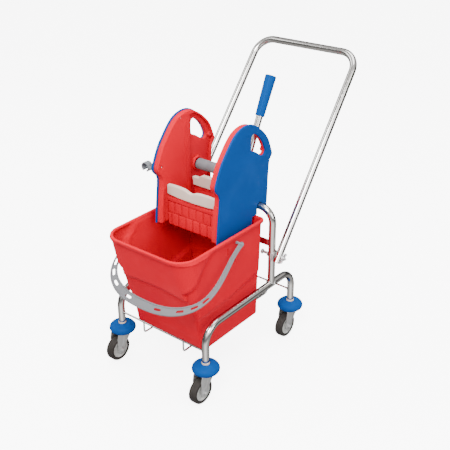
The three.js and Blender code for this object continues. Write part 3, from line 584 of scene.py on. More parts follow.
# ------------------------------------------------------------------ casters
CHEEK_T, CHEEK_R = 3.0, 14.0
CHEEK_IN = TYRE_W / 2 + 1.6  # half the clear width between the cheeks
BOLT_R, AXLE_R = 7.4, 4.0
WEBS = 6


def make_bumper(tag, at):
    dish = [(7.4, BUMPER_Z + 2.5), (30, BUMPER_Z + 2.5), (32.5, BUMPER_Z), (39, BUMPER_Z)]
    for k in range(13):  # full dome from the rim up to the neck
        a = math.radians(-38 + 122 * k / 12)
        dish.append((22 + 21 * math.cos(a), BUMPER_Z + 8 + 14.5 * math.sin(a)
                     + 3.5 * (k / 12) ** 3))
    dish += [(17.5, BUMPER_TOP - 1.6), (15.2, BUMPER_TOP - 1.2), (13.6, BUMPER_TOP - 2.2),
             (13.2, BUMPER_TOP - 6), (7.4, BUMPER_TOP - 6)]
    Shape().add(lathe(rounded(dish, 1.2), 64), at=at).piece(
        f"{tag}_bumper_ring", "frame", "blue_plastic", f"bumper_{tag}")
    collar = [
        (7.4, BUMPER_TOP - 5.6), (12.4, BUMPER_TOP - 5.6), (12.4, BUMPER_TOP + 2.2),
        (11.7, BUMPER_TOP + 3), (7.4, BUMPER_TOP + 3),
    ]
    Shape().add(lathe(rounded(collar, 0.5), 40), at=at).piece(
        f"{tag}_leg_collar", "frame", "ivory_plastic", None)


def make_fork(tag, at, axle):
    cheek = [(15, CROWN_Z + CROWN_T), (13, CROWN_Z - 16), (-TRAIL + 18, AXLE_Z + 12)]
    cheek += arc(CHEEK_R, 18, -180, 13, (-TRAIL, AXLE_Z))
    cheek += [(-TRAIL - CHEEK_R, CROWN_Z - 14), (-TRAIL - 10, CROWN_Z + CROWN_T)]
    cheek = rounded(cheek, 2.5, 2)
    fork = Shape()
    for x0 in (-CHEEK_IN - CHEEK_T, CHEEK_IN):
        fork.add(along_x(plate(cheek, x0, x0 + CHEEK_T, 0.7)), at=at)
    fork.add(
        block(-CHEEK_IN - 2.6, CHEEK_IN + 2.6, -TRAIL - 7, 14, CROWN_Z, CROWN_Z + CROWN_T, 1.2),
        at=at,
    )
    for s in (-1, 1):  # pressed rib down the middle of each cheek
        rib = wire(
            [(s * (CHEEK_IN + 2.4), -8, CROWN_Z - 3),
             (s * (CHEEK_IN + 2.4), -TRAIL + 4, AXLE_Z + 14)], [], 2.1, 14)
        fork.add(rib, at=at)
    race = [
        (7.2, 74.5), (15, 74.5), (16.5, 76.5), (16.5, CROWN_Z + 0.6),
        (17.6, CROWN_Z + 1.6), (17.6, BUMPER_Z - 0.6), (15.4, BUMPER_Z - 0.2),
        (7.2, BUMPER_Z - 0.2),
    ]
    fork.add(lathe(rounded(race, 0.7, 3), 48), at=at)
    stem = [(0, 73), (6.2, 73), (7, 74), (7, BUMPER_TOP - 3.4), (0, BUMPER_TOP - 3.4)]
    fork.add(lathe(stem, 28, closed=False), at=at)
    for s in (-1, 1):  # washers under the bolt head and the nut
        x = s * (CHEEK_IN + CHEEK_T)
        washer = [(4, x), (9.5, x), (9.5, x + s * 0.9), (4, x + s * 0.9)]
        fork.add(lathe(rounded(washer, 0.3, 2), 36, "x"), at=axle)
    fork.piece(f"{tag}_fork_pressing", f"swivel_{tag}", "zinc", f"fork_{tag}")


def make_axle(tag, axle):
    seat = CHEEK_IN + 3.9
    bolt = Shape()
    hexagon = circle(BOLT_R, 6)
    bolt.add(along_x(plate(hexagon, seat, seat + 3.8, 0.6)), at=axle)
    bolt.add(lathe([(0, seat + 2), (4.2, seat + 2), (4.2, seat + 5.2), (3.6, seat + 5.8),
                    (0, seat + 5.8)], 28, "x", False), at=axle)
    bolt.add(along_x(plate(hexagon, -seat - 4, -seat, 0.7)), at=axle)
    bolt.add(lathe([(0, -seat), (AXLE_R, -seat), (AXLE_R, seat), (0, seat)], 28, "x", False), at=axle)
    bolt.piece(f"{tag}_axle_bolt", f"swivel_{tag}", "zinc", f"axle_{tag}")


def make_tyre(tag, axle):
    h = TYRE_W / 2
    tread = [(RIM_R + 0.3, -h + 1.4), (RIM_R + 2, -h + 0.2), (WHEEL_R - 5.6, -h)]
    for s in (-1, 1):  # shoulders, mirrored
        shoulder = [
            (WHEEL_R - 3.2 + 3.2 * math.sin(a), -h + 0.2 + 6.5 * (1 - math.cos(a)))
            for a in np.radians(np.linspace(0, 90, 9))
        ]
        tread += shoulder if s < 0 else facing(reversed(shoulder), -1)
    tread += [(WHEEL_R - 5.6, h), (RIM_R + 2, h - 0.2), (RIM_R + 0.3, h - 1.4)]
    tyre = Shape().add(lathe(tread, 88, "x"), at=axle)
    for s in (-1, 1):  # moulded ring on each sidewall
        bead = [(RIM_R + 4.6 + 0.7 * math.cos(a), s * (h - 0.35) + 0.7 * math.sin(a))
                for a in np.linspace(0, 2 * math.pi, 9)[:-1]]
        tyre.add(lathe(bead, 88, "x"), at=axle)
    tyre.piece(f"{tag}_tyre_tread", f"wheel_{tag}", "tyre_rubber", f"tyre_{tag}")


def make_hub(tag, axle):
    h = TYRE_W / 2
    half = [
        (4.3, -h - 1), (8, -h - 1), (9.4, -h - 0.2), (10.4, -h + 4.4), (12, -h + 5.4),
        (RIM_R - 9, -h + 4.9), (RIM_R - 6.4, -h + 4.4), (RIM_R - 5.4, -h + 2.0),
        (RIM_R - 4, -h + 1.2), (RIM_R - 1.4, -h + 1.0), (RIM_R - 0.4, -h + 1.6),
        (RIM_R - 0.1, -h + 3.4),
    ]
    disc = half + facing(reversed(half), -1)
    hub = Shape().add(lathe(rounded(disc, 0.6, 2), 80, "x"), at=axle)
    for k in range(WEBS):  # low webs between the boss and the rim
        a = 2 * math.pi * k / WEBS + 0.3
        for s in (-1, 1):
            x0, x1 = sorted((s * (h - 5.2), s * (h - 3.2)))
            hub.add(block(x0, x1, -1.3, 1.3, 9, 23.4, 0.6, 2), about_x(a), axle)
    hub.piece(f"{tag}_hub_disc", f"wheel_{tag}", "hub_plastic", f"hub_{tag}")


def make_casters():
    for end, ys in (("front", -1), ("rear", 1)):
        for side, xs in SIDES:
            tag = f"{end}_{side}"
            at = (xs * HALF_TRACK, ys * HALF_BASE, 0)
            axle = (at[0], at[1] - TRAIL, AXLE_Z)
            make_bumper(tag, at)
            make_fork(tag, at, axle)
            make_axle(tag, axle)
            make_tyre(tag, axle)
            make_hub(tag, axle)


# ------------------------------------------------------------------ tube frame
def bead_points(x, y, z, r, steps=56):
    """Weld line where an upright meets a tube of the same size that runs along Y."""
    a = np.linspace(0, 2 * math.pi, steps, endpoint=False)
    wide = r + 0.5
    return np.stack([x + wide * np.cos(a), y + wide * np.sin(a), z + r * np.abs(np.sin(a)) + 0.4], 1)


def ring_sweep(points, radius, ripple=0.16, sides=10):
    n = len(points)
    loops = []
    nxt, prv = np.roll(points, -1, 0), np.roll(points, 1, 0)
    centre = points.mean(0)
    for i in range(n):
        t = nxt[i] - prv[i]
        t /= np.linalg.norm(t)
        u = points[i] - centre
        u -= t * (u @ t)
        u /= np.linalg.norm(u)
        v = np.cross(t, u)
        r = radius * (1 + ripple * math.sin(i * 2.4))
        c = circle(r, sides)
        loops.append(points[i] + c[:, :1] * u + c[:, 1:] * v)
    faces = grid_faces(n + 1, sides)
    faces = [tuple(k % (n * sides) for k in f) for f in faces]
    return np.concatenate(loops), faces


def make_frame():
    for side, s in SIDES:
        x = s * HALF_TRACK
        rail = Shape()
        rail.add(
            tube(
                [(x, -HALF_BASE, BUMPER_TOP + GAP), (x, -HALF_BASE, SIDE_Z),
                 (x, HALF_BASE, SIDE_Z), (x, HALF_BASE, BUMPER_TOP + GAP)],
                [SIDE_BEND, SIDE_BEND],
            )
        )
        for y in (-HALF_BASE, HALF_BASE):  # spot where the cross wire is welded on
            blob = circle(4.6, 18)
            across = np.full(18, x - s * (TUBE_R + 0.2))
            pts = np.stack([across, y + blob[:, 0], WIRE_Z + blob[:, 1]], 1)
            rail.add(ring_sweep(pts, 1.1, 0.2))
        rail.piece(f"side_tube_{side}_bent", "frame", "chrome", f"side_tube_{side}")
        Shape().add(ring_sweep(bead_points(x, ARCH_Y, SIDE_Z, TUBE_R), 1.5)).piece(
            f"arch_weld_{side}", "frame", "zinc", None)

    arch = Shape().add(
        tube(
            [(-HALF_TRACK, ARCH_Y, SIDE_Z + 1), (-HALF_TRACK, ARCH_Y, ARCH_Z),
             (HALF_TRACK, ARCH_Y, ARCH_Z), (HALF_TRACK, ARCH_Y, SIDE_Z + 1)],
            [ARCH_BEND, ARCH_BEND],
            depth=3,
        )
    )
    arch.piece("arch_tube", "frame", "chrome", "wringer_arch")
    reach = HALF_TRACK - TUBE_R + 0.4  # just into the side tubes, where the welds hold
    for end, y in (("front", -HALF_BASE), ("rear", HALF_BASE)):
        Shape().add(wire([(-reach, y, WIRE_Z), (reach, y, WIRE_Z)], [])).piece(
            f"{end}_wire_rod", "frame", "chrome", f"{end}_cross_wire")
    for side, s in SIDES:
        top = WIRE_Z + 1.5
        y = HALF_BASE - 2 * WIRE_R + 0.4
        rail = Shape().add(
            wire([(s * RAIL_X, -y, top), (s * RAIL_X, -y, RAIL_Z),
                  (s * RAIL_X, y, RAIL_Z), (s * RAIL_X, y, top)], [RAIL_BEND] * 2)
        )
        rail.piece(f"rail_{side}_wire", "frame", "chrome", f"bucket_rail_{side}")
    strap = Shape().add(
        block(-reach, reach, ARCH_Y - STRAP_T / 2, ARCH_Y + STRAP_T / 2,
              STRAP_Z - STRAP_H / 2, STRAP_Z + STRAP_H / 2, 1.2)
    )
    strap.piece("strap_bar", "frame", "chrome", "rear_strap")


BOLT_IN, BOLT_OUT, THREAD_START = 141.0, 229.0, 208.0  # along X
THREAD_R, PITCH = 4.2, 1.5
EAR_TILT = 0.6  # radians that each ear of a wing nut leans outwards


def make_clamp(side, s):
    """Saddle, bolt and wing nut on one foot of the push handle."""
    at = (0, ARCH_Y, PIVOT_Z)
    face_in, face_out = HALF_TRACK + 2, HANDLE_X - TUBE_R - 0.6
    hollow = arc(TUBE_R + 0.35, 62, -62, 15, (HALF_TRACK, 0))
    outline = [(face_in + 1.5, -14.6), (face_out, -11.5), (face_out, 11.5), (face_in + 1.5, 14.6)]
    outline += [p for p in hollow if p[0] > face_in]
    outline = [(s * x, y) for x, y in outline]
    Shape().add(plate(outline, -13, 13, 1.0), at=at).piece(
        f"saddle_block_{side}", "frame", "zinc", f"clamp_saddle_{side}")

    bolt = Shape()
    thread = [(0, BOLT_IN), (THREAD_R, BOLT_IN), (THREAD_R, THREAD_START)]
    for x in np.arange(THREAD_START, BOLT_OUT - 2, PITCH):
        thread += [(THREAD_R, x), (THREAD_R - 0.6, x + PITCH / 2)]
    thread += [(2.8, BOLT_OUT - 0.4), (0, BOLT_OUT)]
    bolt.add(lathe(facing(thread, s), 24, "x", False), at=at)
    x_a, x_b = sorted((s * 136, s * 142))
    bolt.add(along_x(plate(circle(8, 6), x_a, x_b, 0.8)), at=at)
    face = s * (HALF_TRACK - TUBE_R)
    washer = [(3.4, face - s * 2.2), (8.6, face - s * 2.2), (8.6, face - s * 0.4), (3.4, face - s * 0.4)]
    bolt.add(lathe(rounded(washer, 0.4, 2), 30, "x"), at=at)
    bolt.piece(f"clamp_bolt_{side}", "frame", "zinc", f"handle_bolt_{side}")

    nut = Shape()
    n0 = HANDLE_X + TUBE_R + 0.9
    barrel = [(3.9, n0), (8.6, n0), (8.8, n0 + 1.4), (7.4, n0 + 3.4), (6.6, n0 + 9),
              (5.8, n0 + 10), (3.9, n0 + 10)]
    nut.add(lathe(facing(rounded(barrel, 0.6, 3), s), 36, "x"), at=at)
    mid = s * (n0 + 5)
    for way in (1, -1):
        ear = [(4.5, -3.4), (13.5, -5.2), *arc(5.3, -90, 90, 13, (13.6, 0)), (13.5, 5.2), (4.5, 3.4)]
        made = plate(ear, -1.6, 1.6, 0.8)
        turn = np.array(
            ((0, s * 1.0, 0),
             (way * math.cos(EAR_TILT), 0, -math.sin(EAR_TILT)),
             (way * math.sin(EAR_TILT), 0, math.cos(EAR_TILT)))
        )
        nut.add(made, turn, (mid, ARCH_Y, PIVOT_Z))
    nut.piece(f"wing_grip_{side}", f"nut_{side}", "zinc", f"wing_nut_{side}")


def make_handle():
    run, rise = HANDLE_TOP_Y - ARCH_Y, HANDLE_TOP_Z - PIVOT_Z
    length = math.hypot(run, rise)
    foot_y = ARCH_Y - run / length * HANDLE_FOOT
    foot_z = PIVOT_Z - rise / length * HANDLE_FOOT
    bar = Shape().add(
        tube(
            [(-HANDLE_X, foot_y, foot_z), (-HANDLE_TOP_X, HANDLE_TOP_Y, HANDLE_TOP_Z),
             (HANDLE_TOP_X, HANDLE_TOP_Y, HANDLE_TOP_Z), (HANDLE_X, foot_y, foot_z)],
            [HANDLE_BEND] * 2, facets=20,
        )
    )
    bar.piece("push_bar_tube", "handle", "chrome", "push_handle")
    for side, s in SIDES:
        make_clamp(side, s)


# ------------------------------------------------------------------ bucket
REAR_EDGE = ((300, -252), (328, -245), (362, -213), (385, -190), (417, -165), (430, -128),
             (463, -104))
FRONT_EDGE = ((300, -270), (342, -266), (405, -225), (440, -212), (463, -204))
SIDE_STEP = ((-206, 238), (-147, 240), (-75, 244), (-15, 252), (46, 264), (93, 272))
N_CORNER, N_SIDE, N_FRONT = 14, 34, 26
CORNER_POWER = 2.2  # how late the front corners open out towards the rim
SIDE_IN, SIDE_BASE, CHEST_OUT, CREASE = 7.0, 2.0, 9.0, 5.0  # depths of the relief
FRONT_IN, TOE_IN, REAR_IN = 11.0, 3.2, 1.5
FOOT_R, INNER_FOOT_R = 9.0, 10.0
NOTCHES = ((-83.5, 416, 24), (-46.5, 372, 17))  # y, z and height, one on each side of the bail arm
NOTCH_IN, NOTCH_HALF = 5.6, 2.6
BAIL_AT = (0, BAIL_Y, BAIL_Z)


def bucket_loop(half, front, rear, corner, back):
    """Points and outward directions round a rounded rectangle, the same count at every size."""
    pts, out = [], []
    runs = (
        ((half - corner, front + corner), corner, -90, N_SIDE),
        ((half - back, rear - back), back, 0, N_FRONT),
        ((-half + back, rear - back), back, 90, N_SIDE),
        ((-half + corner, front + corner), corner, 180, N_FRONT),
    )
    arcs = []
    for centre, r, start, run in runs:
        a = np.radians(start + np.linspace(0, 90, N_CORNER))
        n = np.stack([np.cos(a), np.sin(a)], 1)
        arcs.append((np.array(centre) + r * n, n, run))
    for i, (p, n, run) in enumerate(arcs):
        pts += list(p)
        out += list(n)
        q = arcs[(i + 1) % 4][0][0]
        for k in range(1, run):
            pts.append(mix(p[-1], q, k / run))
            out.append(n[-1])
    return np.array(pts), np.array(out)


def relief(points, out, z):
    """How far the moulded wall stands out of its plain slope."""
    x, y = points[:, 0], points[:, 1]
    side, front = out[:, 0] ** 2, np.where(out[:, 1] < 0, out[:, 1] ** 2, 0)
    rear = np.where(out[:, 1] > 0, out[:, 1] ** 2, 0)
    t = height_share(z)
    fade = min(1.0, math.sqrt(max(t, 0) * 2.4))
    wide = np.clip(np.abs(x) / 130, 0, 1) ** 2
    chest = np.array([float(ramp(z, 302 - 12 * w, 332 - 12 * w)) for w in wide])
    y_rear = np.interp(z, *zip(*REAR_EDGE))
    y_front = np.interp(z, *zip(*FRONT_EDGE))
    wrap = 1 - ramp(y, mix(y_front, y_rear, 0.15), mix(y_front, y_rear, 0.75))
    chest = chest * np.where(front > 0.98, 1, wrap)
    centre = np.interp(y, *zip(*SIDE_STEP))
    step = np.array([float(ramp(z, c - 11, c + 11)) for c in centre])
    toe = float(ramp(z, 148, 166))
    d = -fade * SIDE_IN * (1 - step) * side
    d += (-SIDE_BASE + CHEST_OUT * chest) * side
    d -= CREASE * 4 * chest * (1 - chest) * (side + front)  # crease under the chest
    d -= fade * TOE_IN * (1 - toe) * front + FRONT_IN * (1 - chest) * front * float(ramp(z, 120, 200))
    d -= fade * REAR_IN * (1 - float(ramp(z, 262, 284))) * rear
    return d


def height_share(z):
    return (z - BUCKET_BOTTOM) / (BUCKET_TOP - BUCKET_BOTTOM)


def bucket_size(z):
    t = height_share(z)
    return (
        mix(BASE_HALF, RIM_HALF - ROLL_OUT, t),
        mix(BASE_FRONT, RIM_FRONT + ROLL_OUT, t),
        mix(BASE_REAR, RIM_REAR - ROLL_OUT, t),
        mix(BASE_CORNER, RIM_CORNER, t**CORNER_POWER),
        mix(BASE_BACK, RIM_BACK, t),
    )


def bucket_ring(z, offset):
    """The wall's ring at a height, moved outwards by offset."""
    pts, out = bucket_loop(*bucket_size(z))
    d = relief(pts, out, z) * (1 - float(ramp(z, BUCKET_TOP - 16, BUCKET_TOP - 5)))
    ring = pts + out * (d + offset)[:, None]
    return np.column_stack([ring, np.full(len(ring), z)])


def make_bucket():
    quarter = np.radians(np.linspace(0, 90, 7))
    loops = []
    for a in quarter:  # rounded foot
        loops.append(bucket_ring(BUCKET_BOTTOM + FOOT_R * (1 - math.cos(a)), FOOT_R * (math.sin(a) - 1)))
    for z in np.concatenate([np.arange(124, 232, 7), np.arange(232, 450, 3.2)]):
        loops.append(bucket_ring(float(z), 0))
    lip = [
        (0.0, -ROLL_H - 1.4), (0.6, -ROLL_H - 0.3), (2.2, -ROLL_H), (4.6, -ROLL_H),
        (5.6, -ROLL_H + 0.5), (6, -ROLL_H + 1.5), (6, -4.6), (5.6, -2.6), (4.6, -1.0),
        (3.2, -0.2), (1.6, 0), (-0.6, 0), (-2.2, -0.4), (-3.4, -1.5), (-4.1, -3.2), (-WALL, -6),
    ]
    for offset, drop in lip:
        loops.append(bucket_ring(BUCKET_TOP + drop, offset))
    for z in list(np.arange(452, 236, -4.0)) + list(np.arange(236, 130, -9.0)):
        loops.append(bucket_ring(float(z), -WALL))
    floor = BUCKET_BOTTOM + FLOOR_T
    for a in quarter:
        inward = INNER_FOOT_R * (1 - math.cos(a))
        loops.append(bucket_ring(floor + INNER_FOOT_R * (1 - math.sin(a)), -WALL - inward))
    shell = Shape().add(loft(loops))
    boss = [(5.4, 146), (13, 146), (13, 156.5), (12, 159), (8.6, 159.8), (8.2, 162.4), (5.4, 162.4)]
    slots = []
    for _, s in SIDES:
        shell.add(lathe(facing(rounded(boss, 1, 3), s), 40, "x"), at=BAIL_AT)
        for y, z, tall in NOTCHES:
            x = bucket_size(z)[0]
            x0, x1 = sorted((s * (x - NOTCH_IN), s * (x + 12)))
            points, faces = block(x0, x1, -NOTCH_HALF, NOTCH_HALF, -tall / 2, tall / 2, 1.6)
            slots.append(cutter((points + (0, y, z), faces)))
    moulding = shell.piece("bucket_moulding", "bucket", "red_plastic", "bucket")
    cut(moulding, slots)


# ------------------------------------------------------------------ bail handle
def bail_point(t):
    """Centre of the band in its own plane: across, and outward from the pivots."""
    if t <= 1:
        return np.array([mix(BAIL_ARM_X, BAIL_WIDE_X, float(ramp(t, 0.1, 1))), BAIL_ARM * t])
    a = (t - 1) * math.pi / 2
    c, s = max(math.cos(a), 0), math.sin(a)
    return np.array(
        [BAIL_WIDE_X * c ** (2 / BAIL_POWER),
         BAIL_ARM + (BAIL_REACH - BAIL_ARM) * s ** (2 / BAIL_POWER)]
    )


def make_bail():
    dense = np.array([bail_point(t) for t in np.linspace(0, 2, 400)])
    dense[-1, 0] = 0
    d = np.concatenate([[0], np.cumsum(np.linalg.norm(np.diff(dense, axis=0), axis=1))])
    s = np.linspace(0, d[-1], 120)
    half = np.stack([np.interp(s, d, dense[:, k]) for k in (0, 1)], 1)
    line = np.concatenate([half, half[-2::-1] * (-1, 1)])
    t = np.gradient(line, axis=0)
    t /= np.linalg.norm(t, axis=1)[:, None]
    normal = np.stack([t[:, 1], -t[:, 0]], 1)
    width = np.interp(line[:, 1], *zip(*BAIL_WIDTHS))
    h = BAIL_T / 2
    loops = []
    count = len(line)
    ends = 8

    def section(w):
        k = min(1, w / 11)
        rim = [(w, 0), (w - 0.3 * k, h - 0.6), (w - 1.3 * k, h + 0.5), (w - 2.8 * k, h + 0.9),
               (w - 4.3 * k, h + 0.3), (w - 5.2 * k, h - 1.9)]
        top = [(-a, b) for a, b in rim] + rim[:0:-1]
        return top + [(-a, -b) for a, b in top]

    for k in range(ends, 0, -1):  # rounded tip beyond the first station
        a = math.pi / 2 * k / ends
        w = width[0] / 2
        p = line[0] - t[0] * w * math.sin(a) * 0.98
        loops.append((p, normal[0], max(w * math.cos(a), 0.6)))
    for i in range(count):
        loops.append((line[i], normal[i], width[i] / 2))
    for k in range(1, ends + 1):
        a = math.pi / 2 * k / ends
        w = width[-1] / 2
        p = line[-1] + t[-1] * w * math.sin(a) * 0.98
        loops.append((p, normal[-1], max(w * math.cos(a), 0.6)))
    turn = np.array(about_x(math.radians(180 + BAIL_TILT)))
    rings = []
    for p, n, w in loops:
        rings.append([(p[0] + n[0] * a, p[1] + n[1] * a, b) for a, b in section(w)])
    band = Shape().add(loft(rings), turn, BAIL_AT)
    obj = band.piece("bail_band", "bail", "grey_plastic", "bail_handle")
    cutters = []
    for s in (-1, 1):
        for t0 in BAIL_SLOTS:
            p, q = bail_point(t0), bail_point(t0 + 0.02)
            a = math.atan2(q[1] - p[1], q[0] - p[0])
            slot = []
            for k in range(16):
                b = 2 * math.pi * (k + 0.5) / 16
                slot.append((8 * np.sign(math.cos(b)) + 4 * math.cos(b), 4 * math.sin(b)))
            slot = [
                (s * (p[0] + u * math.cos(a) - v * math.sin(a)), p[1] + u * math.sin(a) + v * math.cos(a))
                for u, v in slot
            ]
            low = [(u, v, -9) for u, v in slot]
            high = [(u, v, 9) for u, v in slot]
            points, faces = loft([low, high])
            cutters.append(cutter((points @ turn.T + BAIL_AT, faces)))
    cut(obj, cutters)
    eyes = Shape()
    for _, s in SIDES:
        boss = [(0, 144.5), (4.4, 144.5), (4.4, 163.8), (4.4, 176.4), (3.8, 177.6), (0, 177.8)]
        eyes.add(lathe(facing(boss, s), 40, "x", False), at=BAIL_AT)
    eyes.piece("bail_pivot_pins", "bail", "grey_plastic", None)


# ------------------------------------------------------------------ wringer
SIDE_BOTTOM, SIDE_BOTTOM_REAR = 436.0, 70.0
HOOK_FRONT, HOOK_REAR, HOOK_TIP, HOOK_TIP_Z = 94.8, 119.4, 144.0, 474.0
SIDE_FRONT = ((-100, SIDE_BOTTOM), (-94, 500), (-88, 548), (-85, 578))
SIDE_CROWN = (
    (-90, 592), (-101, 604), (-105.5, 617), (-102, 631), (-92, 654), (-76, 684), (-55, 711),
    (-34, 735), (-10, 755), (15, 765), (42, 768), (70, 762), (100, 744), (128, 720),
    (146, 698), (158, 673), (167, 650), (167, 640), (156, 626),
)
SIDE_REAR = ((152, 606), (149, 560), (147, 510), (HOOK_TIP, HOOK_TIP_Z))
HAND_HOLE = (
    (60, 690), (60, 722), (68, 732), (82, 729), (102, 714), (118, 695), (129, 674),
    (132, 660), (124, 652), (108, 656), (84, 673), (66, 681),
)
PANEL_OUT = COVER_OUT - COVER_T - GAP


def side_outline():
    out = list(SIDE_FRONT[:-1]) + spline_loop([SIDE_FRONT[-1], *SIDE_CROWN, SIDE_REAR[0]], 5)
    out += list(SIDE_REAR[1:]) + [(HOOK_REAR, HOOK_TIP_Z)]
    r = (HOOK_REAR - HOOK_FRONT) / 2
    out += arc(r, 0, 180, 15, (ARCH_Y, ARCH_Z))
    out += [(HOOK_FRONT, BUCKET_TOP + GAP), (SIDE_BOTTOM_REAR, BUCKET_TOP + GAP)]
    out += [(SIDE_BOTTOM_REAR, SIDE_BOTTOM)]
    return out


SCREWS = ((8, 752), (-84, 622), (143, 662))
WELL = (  # rim of the recess in the inner face of a panel
    (44, 444), (47, 752), (68, 753), (95, 737), (121, 714), (138, 694), (149, 670), (156, 648),
    (147, 630), (142, 606), (139, 560), (137, 508), (84, 508), (84, 476), (60, 476), (60, 444),
)
WELL_DEPTH = 8.0


def spot(y, z, r):
    return arc(r, 0, 342, 20, (y, z))


def add_screw(made, x, y, z, s, r):
    """Adds a sunk cross-head screw that looks along X."""
    cup = [(0, 0.2), (r * 0.8, 0.2), (r, 1.1), (r + 1.1, 1.4), (r + 1.6, 0.6), (r + 1.6, -1.5),
           (0, -1.5)]
    made.add(lathe(facing(cup, s), 28, "x", False), at=(x, y, z))
    for a, b in ((0.62, r * 0.62), (r * 0.62, 0.62)):
        x0, x1 = sorted((s * 0.1, s * 0.75))
        made.add(block(x0, x1, -a, a, -b, b, 0.2, 1), at=(x, y, z))


def make_wringer():
    outline = side_outline()
    hole = spline_loop(HAND_HOLE, 5, closed=True)
    thin = inset(outline, 3.0, 2.0)
    well = rounded(WELL, 4, 4)
    for side, s in SIDES:
        x0, x1 = sorted((s * (COVER_OUT - COVER_T), s * COVER_OUT))
        Shape().add(along_x(plate(outline, x0, x1, 2.2, [hole], 4))).piece(
            f"cover_{side}_moulding", "wringer", "blue_plastic", f"side_cover_{side}")

        panel = Shape()
        x0, x1 = sorted((s * (PANEL_IN + WELL_DEPTH), s * PANEL_OUT))
        panel.add(along_x(plate(thin, x0, x1, 1.0, [hole])))
        x0, x1 = sorted((s * PANEL_IN, s * (PANEL_IN + WELL_DEPTH + 1)))
        dots = [spot(y, z, 3.6) for y, z in SCREWS]
        panel.add(along_x(plate(thin, x0, x1, 1.4, [well, *dots[:2]], 3)))
        panel.add(along_x(plate(spot(*SCREWS[2], 8), x0, x1, 1.2, dots[2:])))
        collar = [(18.3, PANEL_IN + 0.6), (22.5, PANEL_IN + 0.6), (24.5, PANEL_IN + 9),
                  (18.3, PANEL_IN + 9)]
        panel.add(lathe(facing(rounded(collar, 0.9, 3), s), 48, "x"), at=(0, SHAFT_Y, SHAFT_Z))
        for y, top in ((24, 735), (34, 742)):  # faint upright ribs
            a, b = sorted((s * (PANEL_IN - 0.7), s * (PANEL_IN + 2)))
            panel.add(block(a, b, y - 1.5, y + 1.5, 446, top, 0.65))
        a, b = sorted((s * (PANEL_IN - 2.5), s * (PANEL_OUT - 0.5)))
        post = [(-98, SIDE_BOTTOM + 2), (-92, 500), (-85.5, 553), (-78, 553), (-82, 500),
                (-84, SIDE_BOTTOM + 2)]
        panel.add(along_x(plate(rounded(post, 4, 4), a, b, 3.6, steps=5)))
        panel.piece(f"panel_{side}_moulding", "wringer", "red_plastic", f"side_panel_{side}")
        heads = Shape()
        for y, z in SCREWS:
            add_screw(heads, s * (PANEL_IN + 4.6), y, z, -s, 2.6)
        heads.piece(f"panel_screws_{side}", "wringer", "zinc", None)


def bar(x_list, low_at, high_at, y_at, depth, radius):
    """A rounded bar along X whose section changes from station to station."""
    rings = []
    for x, shrink in x_list:
        z0, z1, y = low_at(x), high_at(x), y_at(x)
        box = [(y, z0), (y + depth, z0), (y + depth, z1), (y, z1)]
        ring = np.array(rounded(box, radius, 5))
        mid = ring.mean(0)
        ring = mid + (ring - mid) * np.array(
            [1 - shrink * 2 / depth, 1 - shrink * 2 / (z1 - z0)])
        rings.append([(x, a, b) for a, b in ring])
    return loft(rings)


def stations(limit, count, radius):
    xs = list(np.linspace(-limit + radius, limit - radius, count))
    ends = [(limit - radius + radius * math.sin(a), radius * (1 - math.cos(a)))
            for a in np.radians(np.linspace(18, 88, 5))]
    return ([(-x, k) for x, k in reversed(ends)] + [(x, 0) for x in xs] + ends)


BRICK_COLUMNS, BRICK_GROOVE, BRICK_SPLIT = 7, 4.6, 465.5
LIP_POSTS = (-84, -50, -17, 17, 50, 84)
LIP_TOP, LIP_CROWN, LIP_DIP = 561.0, 6.5, 8.0
PRESS_LIP_TOP, PRESS_LIP_END = 559.0, 548.5


